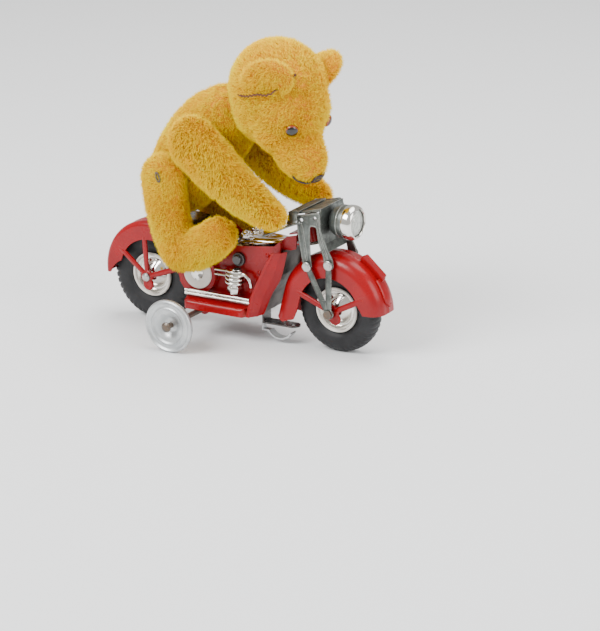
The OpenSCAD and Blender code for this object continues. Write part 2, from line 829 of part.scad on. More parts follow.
module front_tyre() {
    tyre(wheelbase, front_z, front_tyre_r);
}

// ---- rider ----

// everything on one side of the neck joint's plane
module neck_side(above) {
    translate(neck) rotate([0, neck_tilt, 0]) translate([-60, -60, above ? 0.2 : -120.2]) cube(120);
}

// the cotter on the neck joint's axis: reaches down into the torso by depth
module neck_pin(r, depth) {
    translate(neck) rotate([0, neck_tilt, 0]) translate([0, 0, -depth]) cylinder(r = r, h = depth + 2);
}

module bear_torso() {
    color("goldenrod") difference() {
        intersection() {
            union() {
                hull() {
                    pad(15.4, 66, 14.6, 0, 2 * torso_half);
                    pad(34.6, 88.6, 14.4, 0, 2 * torso_half);
                }
                hull() {
                    pad(19, 59.6, 12, 0, 2 * torso_half);
                    pad(30, 70, 13, 0, 2 * torso_half);
                }
            }
            neck_side(false);
            translate([-40, -40, 46.9]) cube(160);
        }
        // passage of the neck's cotter
        neck_pin(cotter_r + 2 * running, 5);
    }
}

module bear_head() {
    color("goldenrod") {
        intersection() {
            translate(head) rotate([0, 0, -head_turn]) translate(-head) {
                hull() {
                    translate(head) sphere(r = 20, $fn = 32);
                    translate([75.4, 0, 78.2]) sphere(r = 8.2, $fn = 32);
                }
                for (s = [-1, 1]) translate([65.5, s * 16.6, 112.6]) rotate([s * -38, 30, 0])
                    cylinder(r = 8.8, h = 4.4, center = true, $fn = 32);
            }
            neck_side(true);
        }
        neck_pin(cotter_r, 4);
    }
}

module bear_arm(s) {
    on_side(s) color("goldenrod") {
        hull() {
            pad(shoulder[0], shoulder[1], 12, limb_y, limb_w);
            pad(50, 68.6, 8.8, limb_y, limb_w);
        }
        hull() {
            pad(50, 68.6, 8.8, limb_y, limb_w);
            pad(66.4, 58.2, 4.8, limb_y - 1.2, limb_w - 2.6);
        }
        // cotter of the shoulder joint
        cross_pin(shoulder[0], shoulder[1], cotter_r, limb_y, limb_y + limb_w / 2 + 0.4);
    }
}

module bear_leg(s) {
    on_side(s) color("goldenrod") {
        // cotter of the hip joint
        cross_pin(hip[0], hip[1], cotter_r, limb_y, limb_y + limb_w / 2 + 0.4);
        hull() {
            pad(hip[0], hip[1], 9.6, limb_y, limb_w);
            pad(22.4, 38, 8.6, limb_y, limb_w);
        }
        hull() {
            pad(25.6, 36, 8.4, limb_y, limb_w);
            pad(42.6, 47.4, 7.6, limb_y, limb_w);
        }
    }
}

// ---- each pair by its own name ----

module body_shell_right() {
    body_shell(-1);
}

module body_shell_left() {
    body_shell(1);
}

module leg_shield_right() {
    leg_shield(-1);
}

module leg_shield_left() {
    leg_shield(1);
}

module footboard_right() {
    footboard(-1);
}

module footboard_left() {
    footboard(1);
}

module rear_fender_right() {
    rear_fender(-1);
}

module rear_fender_left() {
    rear_fender(1);
}

module engine_right() {
    engine(-1);
}

module engine_left() {
    engine(1);
}

module stabiliser_wheel_right() {
    stabiliser_wheel(-1);
}

module stabiliser_wheel_left() {
    stabiliser_wheel(1);
}

module fork_right() {
    fork_side(-1);
}

module fork_left() {
    fork_side(1);
}

module front_fender_right() {
    front_fender(-1);
}

module front_fender_left() {
    front_fender(1);
}

module bear_arm_right() {
    bear_arm(-1);
}

module bear_arm_left() {
    bear_arm(1);
}

module bear_leg_right() {
    bear_leg(-1);
}

module bear_leg_left() {
    bear_leg(1);
}

placed() body_shell_right();
placed() body_shell_left();
placed() leg_shield_right();
placed() leg_shield_left();
placed() footboard_right();
placed() footboard_left();
placed() rear_fender_right();
placed() rear_fender_left();
placed() base_plate();
placed() front_closing_plate();
placed() tank_cover();
placed() filler_caps();
placed() saddle();
placed() gearbox_rings();
placed() gearbox_bosses();
placed() engine_right();
placed() engine_left();
placed() exhaust_pipes();
placed() air_cleaners();
placed() motor_plate_right();
placed() motor_plate_left();
placed() motor_pillars();
placed() mainspring();
placed() body_rivets();
placed() steering_bush();
placed() stabiliser_bracket();
placed() stabiliser_axle();
placed() bear_torso();
placed() rear_axle();
placed() rear_pinion();
placed() rear_rim();
placed() rear_tyre();
placed() idler_wheel();
placed() great_wheel();
placed() winding_arbor();
placed() winding_key();
placed() start_stop_lever();
placed() stabiliser_wheel_right();
placed() stabiliser_wheel_left();
placed() fork_right();
placed() fork_left();
placed() fork_apron();
placed() fork_links();
placed() fork_bolts();
placed() steering_stem();
placed() handlebar();
placed() headlamp_shell();
placed() headlamp_bezel();
placed() headlamp_lens();
placed() front_fender_right();
placed() front_fender_left();
placed() number_plate();
placed() front_axle();
placed() front_rim();
placed() front_tyre();
placed() bear_head();
placed() bear_arm_right();
placed() bear_arm_left();
placed() bear_leg_right();
placed() bear_leg_left();
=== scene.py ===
# Tin wind-up motorcycle with its jointed mohair rider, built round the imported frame.
import json
import math

import bmesh
import bpy
from mathutils import Matrix, Vector
from mathutils.bvhtree import BVHTree


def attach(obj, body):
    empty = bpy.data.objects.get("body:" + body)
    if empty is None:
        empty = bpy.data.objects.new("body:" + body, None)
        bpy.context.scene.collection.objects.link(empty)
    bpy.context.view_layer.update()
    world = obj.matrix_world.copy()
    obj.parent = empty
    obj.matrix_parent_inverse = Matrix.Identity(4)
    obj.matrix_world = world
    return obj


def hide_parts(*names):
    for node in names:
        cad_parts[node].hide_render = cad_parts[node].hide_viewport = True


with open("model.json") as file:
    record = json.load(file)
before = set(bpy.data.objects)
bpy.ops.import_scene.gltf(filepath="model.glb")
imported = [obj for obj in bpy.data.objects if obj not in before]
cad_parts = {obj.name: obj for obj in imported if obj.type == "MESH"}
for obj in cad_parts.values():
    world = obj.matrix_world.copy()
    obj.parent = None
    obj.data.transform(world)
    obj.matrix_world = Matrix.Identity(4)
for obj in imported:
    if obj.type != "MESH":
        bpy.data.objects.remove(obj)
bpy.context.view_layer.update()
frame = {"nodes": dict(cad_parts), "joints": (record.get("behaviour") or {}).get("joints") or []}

# ---- The studio ----
# The toy stands on a plain pale floor under two broad soft lamps and a pale sky. The camera is
# on the toy's right, in front of it and a little above.

MM = 0.001
rear_hub_x = next(j["pos_m"][0] for j in frame["joints"] if j["name"] == "rear_wheel_spin")


def at(x, y, z):
    """A place x millimetres ahead of the rear axle, y to the left and z above the floor."""
    return Vector((rear_hub_x + x * MM, y * MM, z * MM))


side_turn = math.radians(31.23)
look_down = math.radians(18.62)
lean = math.radians(-1.006)
backwards = Vector((math.sin(side_turn) * math.cos(look_down),
                    -math.cos(side_turn) * math.cos(look_down), math.sin(look_down)))
level = Vector((math.cos(side_turn), math.sin(side_turn), 0))
upright = backwards.cross(level)
right = math.cos(lean) * level + math.sin(lean) * upright
up = math.cos(lean) * upright - math.sin(lean) * level
camera_stand = at(554.8, -800.2, 326.8)


def linked(name, data):
    """A new object for the data, put in the scene."""
    made = bpy.data.objects.new(name, data)
    bpy.context.collection.objects.link(made)
    return made


camera_data = bpy.data.cameras.new("camera")
camera_data.lens = 138.6
camera_data.sensor_width = 36
camera_data.clip_start = 0.05
camera = linked("camera", camera_data)
camera.matrix_world = (Matrix.Translation(camera_stand)
                       @ Matrix((right, up, backwards)).transposed().to_4x4())
bpy.context.scene.camera = camera


def soft_lamp(name, place, aim, size, watts):
    data = bpy.data.lights.new(name, "AREA")
    data.shape = "RECTANGLE"
    data.size, data.size_y = size
    data.energy = watts
    lamp = linked(name, data)
    lamp.location = place
    lamp.rotation_euler = (Vector(aim) - Vector(place)).to_track_quat("-Z", "Y").to_euler()


def set_sockets(node, values):
    for socket, value in values.items():
        node.inputs[socket].default_value = value


def new_finish(name, sockets):
    """A finish with plain values on its shader's sockets."""
    finish = bpy.data.materials.new(name)
    finish.use_nodes = True
    set_sockets(shader_of(finish), sockets)
    return finish


def shader_of(finish):
    return finish.node_tree.nodes["Principled BSDF"]


soft_lamp("key_lamp", (-0.35, -0.75, 0.85), (0, 0, 0.06), (0.7, 0.5), 16)
soft_lamp("fill_lamp", (0.95, -0.1, 0.5), (0, 0, 0.05), (0.6, 0.6), 6)
soft_lamp("top_lamp", (0.1, 0.25, 1.0), (0, 0, 0.05), (0.9, 0.7), 11)
world = bpy.data.worlds.new("studio")
world.use_nodes = True
set_sockets(world.node_tree.nodes["Background"], {"Color": (1, 0.985, 0.96, 1), "Strength": 0.7})
bpy.context.scene.world = world

bpy.ops.mesh.primitive_plane_add(size=8)
floor = bpy.context.object
floor.name = "floor"
floor.data.materials.append(new_finish("pale_floor", {"Base Color": (0.86, 0.87, 0.88, 1),
                                                      "Roughness": 0.7}))

# ---- Wear and grain ----
# Tin toys of this age show blotches where lacquer or plate has dulled, bright lines where edges
# rub, and a fine grain from the rolled sheet. One group gives the masks for all of them.


def add_node(tree, kind, sockets=None, **settings):
    """A new node in a tree, with its settings and the values of its input sockets."""
    node = tree.nodes.new(kind)
    for name, value in settings.items():
        setattr(node, name, value)
    set_sockets(node, sockets or {})
    return node


def build_wear_group():
    group = bpy.data.node_groups.new("age_wear", "ShaderNodeTree")
    for name, value in (("Blotch Scale", 120.0), ("Blotch Amount", 0.4), ("Edge Width", 0.0003),
                        ("Grain Scale", 900.0)):
        socket = group.interface.new_socket(name, in_out="INPUT", socket_type="NodeSocketFloat")
        socket.default_value = value
    for name in ("Blotch", "Edge", "Scratch", "Grain"):
        group.interface.new_socket(name, in_out="OUTPUT", socket_type="NodeSocketFloat")
    link = group.links.new
    given = add_node(group, "NodeGroupInput")
    result = add_node(group, "NodeGroupOutput")
    place = add_node(group, "ShaderNodeTexCoord")
    blotch = add_node(group, "ShaderNodeTexNoise", {"Detail": 8, "Roughness": 0.65})
    limit = add_node(group, "ShaderNodeMapRange", {"From Min": 0.62, "From Max": 0.38})
    scaled = add_node(group, "ShaderNodeMath", operation="MULTIPLY")
    link(place.outputs["Object"], blotch.inputs["Vector"])
    link(given.outputs["Blotch Scale"], blotch.inputs["Scale"])
    link(blotch.outputs["Fac"], limit.inputs["Value"])
    link(limit.outputs["Result"], scaled.inputs[0])
    link(given.outputs["Blotch Amount"], scaled.inputs[1])
    link(scaled.outputs[0], result.inputs["Blotch"])
    # an edge is where the surface and its rounded copy point different ways
    rounded = add_node(group, "ShaderNodeBevel", samples=4)
    facing = add_node(group, "ShaderNodeNewGeometry")
    agree = add_node(group, "ShaderNodeVectorMath", operation="DOT_PRODUCT")
    edge = add_node(group, "ShaderNodeMapRange", {"From Min": 0.985, "From Max": 0.8})
    broken = add_node(group, "ShaderNodeMath", operation="MULTIPLY")
    link(given.outputs["Edge Width"], rounded.inputs["Radius"])
    link(rounded.outputs["Normal"], agree.inputs[0])
    link(facing.outputs["Normal"], agree.inputs[1])
    link(agree.outputs["Value"], edge.inputs["Value"])
    link(edge.outputs["Result"], broken.inputs[0])
    link(blotch.outputs["Fac"], broken.inputs[1])
    link(broken.outputs[0], result.inputs["Edge"])
    # scratches are noise drawn out along one direction
    stretch = add_node(group, "ShaderNodeMapping", {"Scale": (1, 1, 9), "Rotation": (0.4, 0.9, 0.2)})
    streak = add_node(group, "ShaderNodeTexNoise", {"Scale": 380, "Detail": 3})
    cut = add_node(group, "ShaderNodeMapRange", {"From Min": 0.66, "From Max": 0.72})
    link(place.outputs["Object"], stretch.inputs["Vector"])
    link(stretch.outputs["Vector"], streak.inputs["Vector"])
    link(streak.outputs["Fac"], cut.inputs["Value"])
    link(cut.outputs["Result"], result.inputs["Scratch"])
    grain = add_node(group, "ShaderNodeTexNoise", {"Detail": 2})
    link(place.outputs["Object"], grain.inputs["Vector"])
    link(given.outputs["Grain Scale"], grain.inputs["Scale"])
    link(grain.outputs["Fac"], result.inputs["Grain"])
    return group


age_wear = build_wear_group()


def worn(finish, sockets):
    """The wear group, placed in a finish with its own values."""
    return add_node(finish.node_tree, "ShaderNodeGroup", sockets, node_tree=age_wear)


def blend(finish, mask, a, b):
    """Two colours mixed by a mask; each is a colour or another node's output."""
    mix = add_node(finish.node_tree, "ShaderNodeMix", data_type="RGBA")
    finish.node_tree.links.new(mask, mix.inputs["Factor"])
    for socket, colour in (("A", a), ("B", b)):
        if isinstance(colour, tuple):
            mix.inputs[socket].default_value = (*colour, 1)
        else:
            finish.node_tree.links.new(colour, mix.inputs[socket])
    return mix.outputs["Result"]


def paint(finish, colour):
    finish.node_tree.links.new(colour, shader_of(finish).inputs["Base Color"])


def cloud(finish, mask, low, high):
    """Roughness that goes from low to high with a mask."""
    span = add_node(finish.node_tree, "ShaderNodeMapRange", {"To Min": low, "To Max": high})
    finish.node_tree.links.new(mask, span.inputs["Value"])
    finish.node_tree.links.new(span.outputs["Result"], shader_of(finish).inputs["Roughness"])


def emboss(finish, height, strength, distance=0.0004):
    """A fine relief from a mask."""
    relief = add_node(finish.node_tree, "ShaderNodeBump", {"Strength": strength, "Distance": distance})
    finish.node_tree.links.new(height, relief.inputs["Height"])
    finish.node_tree.links.new(relief.outputs["Normal"], shader_of(finish).inputs["Normal"])


def aged_finish(name, clean, dulled, rubbed, rough, rough_dull, metallic=0.0, coat=0.0,
                blotch=(120, 0.5), edge_gain=1.6, scratch_gain=0.3, grain=(900, 0.05), gloss=0.5):
    """A finish that goes from clean to dulled in blotches, and to rubbed at edges and scratches."""
    finish = new_finish(name, {"Metallic": metallic, "Coat Weight": coat, "Coat Roughness": 0.06,
                               "Specular IOR Level": gloss})
    tree = finish.node_tree
    wear = worn(finish, {"Blotch Scale": blotch[0], "Blotch Amount": blotch[1], "Grain Scale": grain[0]})
    dull = blend(finish, wear.outputs["Blotch"], clean, dulled)
    scratch = add_node(tree, "ShaderNodeMath", {1: scratch_gain}, operation="MULTIPLY")
    rub = add_node(tree, "ShaderNodeMath", {1: edge_gain}, operation="MULTIPLY_ADD", use_clamp=True)
    tree.links.new(wear.outputs["Scratch"], scratch.inputs[0])
    tree.links.new(wear.outputs["Edge"], rub.inputs[0])
    tree.links.new(scratch.outputs[0], rub.inputs[2])
    paint(finish, blend(finish, rub.outputs[0], dull, rubbed))
    cloud(finish, wear.outputs["Blotch"], rough, rough_dull)
    emboss(finish, wear.outputs["Grain"], grain[1])
    return finish


red_enamel = aged_finish("red_enamel", (0.3, 0.001, 0.004), (0.19, 0.001, 0.003), (0.5, 0.07, 0.05),
                         0.24, 0.4, coat=0.12, blotch=(60, 0.6), edge_gain=0.9, scratch_gain=0.08,
                         gloss=0.28)
bright_plate = aged_finish("bright_plate", (0.86, 0.85, 0.82), (0.5, 0.46, 0.38), (0.95, 0.94, 0.9),
                           0.08, 0.3, metallic=1, blotch=(160, 0.55), grain=(500, 0.05))
aged_tin = aged_finish("aged_tin", (0.16, 0.175, 0.162), (0.06, 0.066, 0.06), (0.62, 0.62, 0.57),
                       0.36, 0.58, metallic=0.85, blotch=(220, 0.8), edge_gain=2.2, scratch_gain=0.5,
                       grain=(1400, 0.12))
dull_zinc = aged_finish("dull_zinc", (0.56, 0.575, 0.58), (0.36, 0.38, 0.39), (0.85, 0.86, 0.86),
                        0.33, 0.5, metallic=0.75, blotch=(140, 0.6), edge_gain=1.4,
                        scratch_gain=0.4, grain=(1200, 0.1))
clean_steel = aged_finish("clean_steel", (0.52, 0.52, 0.51), (0.3, 0.28, 0.25), (0.8, 0.8, 0.78),
                          0.24, 0.42, metallic=1, blotch=(260, 0.5), grain=(1500, 0.08))
dark_steel = aged_finish("dark_steel", (0.11, 0.1, 0.09), (0.2, 0.12, 0.07), (0.4, 0.38, 0.35),
                         0.35, 0.6, metallic=0.8, blotch=(500, 0.6), grain=(1500, 0.1))
black_enamel = aged_finish("black_enamel", (0.012, 0.012, 0.013), (0.035, 0.03, 0.028),
                           (0.3, 0.27, 0.24), 0.2, 0.42, coat=0.5, edge_gain=1.2)
bronze_tin = aged_finish("bronze_tin", (0.05, 0.034, 0.022), (0.02, 0.014, 0.01), (0.22, 0.17, 0.12),
                         0.35, 0.55, metallic=0.3, blotch=(150, 0.8))
cream_enamel = aged_finish("cream_enamel", (0.78, 0.75, 0.7), (0.6, 0.55, 0.45), (0.85, 0.84, 0.8),
                           0.3, 0.45, coat=0.3, blotch=(200, 0.4))
stamped_brass = aged_finish("stamped_brass", (0.66, 0.47, 0.2), (0.33, 0.2, 0.08),
                            (0.9, 0.75, 0.4), 0.22, 0.45, metallic=1, blotch=(300, 0.6))

# ---- Clockwork and other plain stampings ----
# The motor is two steel plates on shouldered pillars with a spring, an arbor and stamped brass
# wheels between them. Their shapes are already exact, so the frame's own pieces are kept.


def repaint(node, finish):
    """Gives a node of the frame a finish and leaves its mesh alone."""
    materials = frame["nodes"][node].data.materials
    if not materials:
        materials.append(finish)
    for place in range(len(materials)):
        materials[place] = finish


for node, finish in (
        ("motor_plate_right", clean_steel), ("motor_plate_left", clean_steel),
        ("motor_pillars", clean_steel), ("mainspring", clean_steel), ("rear_axle", clean_steel),
        ("winding_arbor", clean_steel), ("winding_key", clean_steel),
        ("start_stop_lever", dull_zinc), ("rear_pinion", stamped_brass),
        ("idler_wheel", stamped_brass), ("great_wheel", stamped_brass),
        ("body_shell_right", red_enamel), ("body_shell_left", red_enamel),
        ("steering_bush", red_enamel), ("stabiliser_bracket", red_enamel),
        ("body_rivets", red_enamel), ("base_plate", black_enamel),
        ("front_closing_plate", bronze_tin), ("stabiliser_axle", dark_steel),
        ("steering_stem", dark_steel), ("gearbox_bosses", bright_plate),
        ("saddle", black_enamel)):
    repaint(node, finish)

# ---- Rubber tyres ----
# Both tyres are moulded black rubber pushed over the rims. The tread is a ring of slanting
# blocks on each shoulder, worn down on the front one.


def piece_from(name, points, faces, finish, smooth_under=40):
    """A closed mesh from points in metres: doubles merged, faces turned outwards."""
    mesh = bpy.data.meshes.new(name)
    mesh.from_pydata([tuple(p) for p in points], [], faces)
    shape = bmesh.new()
    shape.from_mesh(mesh)
    bmesh.ops.remove_doubles(shape, verts=shape.verts, dist=1e-7)
    bmesh.ops.recalc_face_normals(shape, faces=shape.faces)
    shape.to_mesh(mesh)
    shape.free()
    mesh.materials.append(finish)
    piece = linked(name, mesh)
    smooth_by_angle(piece, smooth_under)
    return piece


def smooth_by_angle(piece, degrees):
    """Rounds the shading everywhere but over edges sharper than the angle."""
    shape = bmesh.new()
    shape.from_mesh(piece.data)
    for face in shape.faces:
        face.smooth = True
    for edge in shape.edges:
        edge.smooth = len(edge.link_faces) == 2 and edge.calc_face_angle() < math.radians(degrees)
    shape.to_mesh(piece.data)
    shape.free()


def turned(name, outline, centre, finish, axis="Y", steps=96, closed=True, ripple=None, smooth_under=40):
    """A turned piece: outline points are (radius, distance along the axis) in millimetres."""
    points, faces = [], []
    count = len(outline)
    for step in range(steps):
        angle = 2 * math.pi * step / steps
        for radius, along in outline:
            if ripple:
                radius += ripple(angle, radius, along)
            if axis == "Y":
                offset = (radius * math.cos(angle), along, radius * math.sin(angle))
            else:
                offset = (along, radius * math.cos(angle), radius * math.sin(angle))
            points.append(centre + Vector(offset) * MM)
        for i in range(count if closed else count - 1):
            a = step * count + i
            b = step * count + (i + 1) % count
            c = (step + 1) % steps * count
            faces.append((a, b, c + (i + 1) % count, c + i))
    return piece_from(name, points, faces, finish, smooth_under)


def build_rubber():
    finish = new_finish("tyre_rubber", {"Specular IOR Level": 0.35, "Roughness": 0.5})
    wear = worn(finish, {"Blotch Scale": 180, "Blotch Amount": 0.7, "Grain Scale": 2200})
    paint(finish, blend(finish, wear.outputs["Blotch"], (0.007, 0.007, 0.008), (0.02, 0.02, 0.022)))
    emboss(finish, wear.outputs["Grain"], 0.12)
    return finish


tyre_rubber = build_rubber()


def carried(piece, body):
    """The piece moves with the body."""
    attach(piece, body)


def fitted(piece, node, body):
    """The piece stands for the node."""
    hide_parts(node)
    carried(piece, body)


def tyre(node, centre, radius, blocks, depth, body):
    bead, well, well_half, wide = 9.0, 8.3, 2.2, 4.4
    middle = (radius + bead) / 2
    tall = (radius - bead) / 2
    outline = []
    for i in range(37):
        turn = math.radians(-115 + 230 * i / 36)
        y = wide * math.copysign(abs(math.sin(turn)) ** 0.85, math.sin(turn))
        outline.append((middle + tall * math.copysign(abs(math.cos(turn)) ** 0.8, math.cos(turn)), y))
    outline += [(well, well_half), (well, -well_half)]

    def tread(angle, r, y):
        shoulder = min(1, max(0, (r - middle - 0.25 * tall) / (0.35 * tall)))
        slant = angle * blocks + abs(y) * 0.9 + (math.pi if y > 0 else 0)
        groove = max(0, math.cos(slant) - 0.25) / 0.75
        crown = max(0, 1 - abs(y) / 1.3)
        return -depth * shoulder * groove ** 0.7 * (1 - crown)

    made = turned(node + "_rubber", outline, centre, tyre_rubber, steps=blocks * 8, ripple=tread)
    fitted(made, node, body)


wheelbase, rear_radius, front_radius = 89, 19.8, 18
rear_hub = at(0, 0, rear_radius)
front_hub = at(wheelbase, 0, front_radius)
tyre("rear_tyre", rear_hub, rear_radius, 44, 0.75, "rear_wheel")
tyre("front_tyre", front_hub, front_radius, 44, 0.3, "front_wheel")

# ---- Rims ----
# Each rim is a pair of deep pressings in bright plate, joined back to back, with a rolled
# cream edge against the tyre.


def rim(node, centre, bore, body):
    half = [(bore, 4.4), (2.0, 4.5), (2.7, 4.25), (3.6, 3.7), (4.8, 2.7), (5.8, 1.75), (6.5, 1.3),
            (7.0, 1.35), (7.5, 1.9), (8.0, 2.9), (8.35, 3.7), (8.5, 3.6), (8.3, 2.4), (7.9, 0.9)]
    outline = half + [(r, -y) for r, y in reversed(half)]
    dish = turned(node + "_dish", outline, centre, bright_plate, steps=96, smooth_under=60)
    edge_half = [(8.05, 3.1), (8.15, 3.9), (8.45, 4.35), (8.85, 4.45), (9.2, 4.2), (9.35, 3.7),
                 (9.3, 3.2), (8.8, 2.6)]
    for side, name in ((-1, "right"), (1, "left")):
        outline = [(r, side * y) for r, y in edge_half]
        edge = turned(f"{node}_edge_{name}", outline, centre, cream_enamel, steps=96, smooth_under=60)
        carried(edge, body)
    fitted(dish, node, body)


rim("rear_rim", rear_hub, 1.2, "rear_wheel")
rim("front_rim", front_hub, 1.16, "front_wheel")

# ---- Stabiliser wheels ----
# Two zinc-plated discs, pressed with a rolled edge, a raised bead and a dished middle. They turn
# freely on the ends of the cross axle.


def stabiliser_wheel(side, name):
    face = [(1.25, -1.5), (2.6, -1.5), (3.2, -1.3), (4.2, -0.5), (5.4, 0.1), (6.2, 0.35), (6.8, 0.45),
            (7.2, 0.9), (7.55, 1.05), (7.9, 0.75), (8.4, 0.55), (9.2, 0.5), (9.7, 0.9), (10.2, 1.25),
            (10.7, 1.1), (11, 0.5), (11, -0.3), (10.7, -1.1), (10.2, -1.4), (9.8, -1.1), (9.4, -0.2),
            (8, -0.25), (7.5, 0.05), (6.8, -0.3), (5.6, -0.5), (4.4, -1.1), (3.4, -1.9), (2.6, -2.1),
            (1.25, -2.1)]
    outline = [(r, side * y) for r, y in face]
    wheel = turned(f"stabiliser_disc_{name}", outline, at(29, side * 35, 11), dull_zinc, smooth_under=50)
    fitted(wheel, f"stabiliser_wheel_{name}", f"stabiliser_{name}")


stabiliser_wheel(-1, "right")
stabiliser_wheel(1, "left")

# ---- Fenders ----
# Each fender is two pressed halves that meet along the crest, with spokes stamped in one piece
# with the side wall. The rear pair is fixed to the body and the front pair turns with the fork.

tin = 0.6


def joined(name, parts, finish=None):
    """Several pieces of one stamping as one mesh."""
    shape = bmesh.new()
    for part in parts:
        shape.from_mesh(part.data)
    mesh = bpy.data.meshes.new(name)
    shape.to_mesh(mesh)
    shape.free()
    for material in ([finish] if finish else list(parts[0].data.materials)):
        mesh.materials.append(material)
    piece = linked(name, mesh)
    for part in parts:
        bpy.data.objects.remove(part)
    return piece


def skinned(name, rings, finish, closed_ring=True, smooth_under=40):
    """A skin over rings of points, capped at both ends."""
    count = len(rings[0])
    points = [p for ring in rings for p in ring]
    faces = []
    for step in range(len(rings) - 1):
        for i in range(count if closed_ring else count - 1):
            a = step * count + i
            b = step * count + (i + 1) % count
            faces.append((a, b, b + count, a + count))
    faces.append(tuple(range(count)))
    faces.append(tuple(range((len(rings) - 1) * count, len(rings) * count)))
    return piece_from(name, points, faces, finish, smooth_under)


def fender_ring(side, crown, inner, half, shoulder):
    """Outer line from the lip up over the shoulder to the crest, then back along the inside."""
    lip = min(1.0, max(0.05, crown - shoulder - inner))
    outer = [(inner, half - 0.35), (inner + 0.1, half), (inner + lip, half),
             (crown - shoulder - 0.05, half)]
    turns = [math.radians(a) for a in range(0, 91, 10)]
    outer += [(crown - shoulder + shoulder * math.sin(t), half - shoulder + shoulder * math.cos(t))
              for t in turns]
    outer += [(crown, 0.5), (crown + 0.12, 0.28), (crown + 0.12, 0.06)]
    inside = [(crown - tin, 0.06), (crown - tin, half - shoulder)]
    inside += [(crown - shoulder + (shoulder - tin) * math.sin(t),
                half - shoulder + (shoulder - tin) * math.cos(t)) for t in reversed(turns)]
    inside += [(crown - shoulder - 0.05, half - tin), (inner + lip, half - tin), (inner, half - tin)]
    return [(r, side * y) for r, y in outer + inside]


def spoke(start, end, y, width, side, finish):
    """A stamped spoke: a flat bar with a rounded ridge on its outer face."""
    along = Vector((end[0] - start[0], end[1] - start[1]))
    length = along.length
    along.normalize()
    across = Vector((-along.y, along.x))
    rings = []
    for step in range(13):
        t = step / 12
        rounding = 1 - (2 * t - 1) ** 8 * 0.4
        ring = []
        for offset, lift in ((-1, -0.25), (-1, 0.15), (-0.75, 0.42), (-0.3, 0.62), (0.3, 0.62),
                             (0.75, 0.42), (1, 0.15), (1, -0.25)):
            x = start[0] + along.x * length * t + across.x * offset * width / 2 * rounding
            z = start[1] + along.y * length * t + across.y * offset * width / 2 * rounding
            ring.append(at(x, side * (y + lift), z))
        rings.append(ring)
    return skinned("spoke", rings, finish, smooth_under=50)


def boss(x, z, y, radius, side, finish, rise=0.7):
    outline = [(0, side * (y - 0.3)), (radius, side * (y - 0.3)), (radius, side * (y + rise * 0.4)),
               (radius * 0.88, side * (y + rise * 0.8)), (radius * 0.7, side * (y + rise)),
               (radius * 0.55, side * (y + rise * 0.75)), (0, side * (y + rise * 0.75))]
    return turned("boss", outline, at(x, 0, z), finish, steps=40, closed=False, smooth_under=50)


front_fender_x, front_fender_z = 87.7, 18.3
spoke_root = 1.5


def round_hub(x, z, radius, degrees):
    """A place in the wheel's plane, at a radius from a hub."""
    turn = math.radians(degrees)
    return (x + radius * math.cos(turn), z + radius * math.sin(turn))


def rear_fender(side, name):
    centre_x, centre_z, crown, half, shoulder, lip = 1.3, 21.4, 22.4, 7.75, 2.3, 14.5
    rings = []
    for step in range(97):
        degrees = -2 + 188 * step / 96
        # the side wall narrows to a point at the tail
        tail = max(0, (degrees - 166) / 20)
        inner = lip + 5.4 * tail ** 0.8 + 0.9 * max(0, (12 - degrees) / 14)
        turn = math.radians(degrees)
        rings.append([at(centre_x + r * math.cos(turn), y, centre_z + r * math.sin(turn))
                      for r, y in fender_ring(side, crown, inner, half, shoulder)])
    parts = [skinned("shell", rings, red_enamel)]
    for degrees in (20, 93, 141):
        parts.append(spoke(round_hub(0, rear_radius, spoke_root, degrees),
                           round_hub(0, rear_radius, 17.4, degrees), 7.3, 2.3, side, red_enamel))
    parts.append(boss(0, rear_radius, 7.4, 2.8, side, red_enamel))
    parts.append(boss(0.5, 16.5, 7.3, 2.5, side, red_enamel))
    fitted(joined(f"rear_fender_{name}_stamping", parts), f"rear_fender_{name}", "chassis")


def front_fender(side, name):
    crown, half, shoulder, lip = 23.3, 7.95, 5.2, 13.8
    crest_end, tail_run, cut_off = 165, 13.2, 10.7
    rings = []
    for step in range(97):
        degrees = 2 + (crest_end - 2) * step / 96
        front = max(0, (16 - degrees) / 14)
        turn = math.radians(degrees)
        rings.append([at(front_fender_x + r * math.cos(turn), y, front_fender_z + r * math.sin(turn))
                      for r, y in fender_ring(side, crown, lip + 1.6 * front, half, shoulder)])
    # the tail runs straight on behind the wheel and is cut off level
    turn = math.radians(crest_end)
    down = Vector((-math.sin(turn), math.cos(turn)))
    for step in range(1, 13):
        fall = step / 12
        ring = []
        for r, y in fender_ring(side, crown, lip + 2.2 * max(0, fall - 0.45), half, shoulder):
            x = front_fender_x + r * math.cos(turn) + down.x * tail_run * fall
            z = front_fender_z + r * math.sin(turn) + down.y * tail_run * fall
            low = cut_off + 0.35 * abs(r - 19)
            ring.append(at(x, y, max(z, min(z + 3, low)) if z < low else z))
        rings.append(ring)
    parts = [skinned("shell", rings, red_enamel)]
    for degrees, length in ((158, 17), (27, 16)):
        parts.append(spoke(round_hub(wheelbase, front_radius, spoke_root, degrees),
                           round_hub(wheelbase, front_radius, length, degrees), 7.5, 2.4, side, red_enamel))
    parts.append(boss(wheelbase, front_radius, 7.55, 3.1, side, red_enamel, rise=0.5))
    parts.append(boss(90.5, 15.5, 7.5, 2.5, side, red_enamel, rise=0.5))
    fitted(joined(f"front_fender_{name}_stamping", parts), f"front_fender_{name}", "steering")


for side, name in ((-1, "right"), (1, "left")):
    rear_fender(side, name)
    front_fender(side, name)
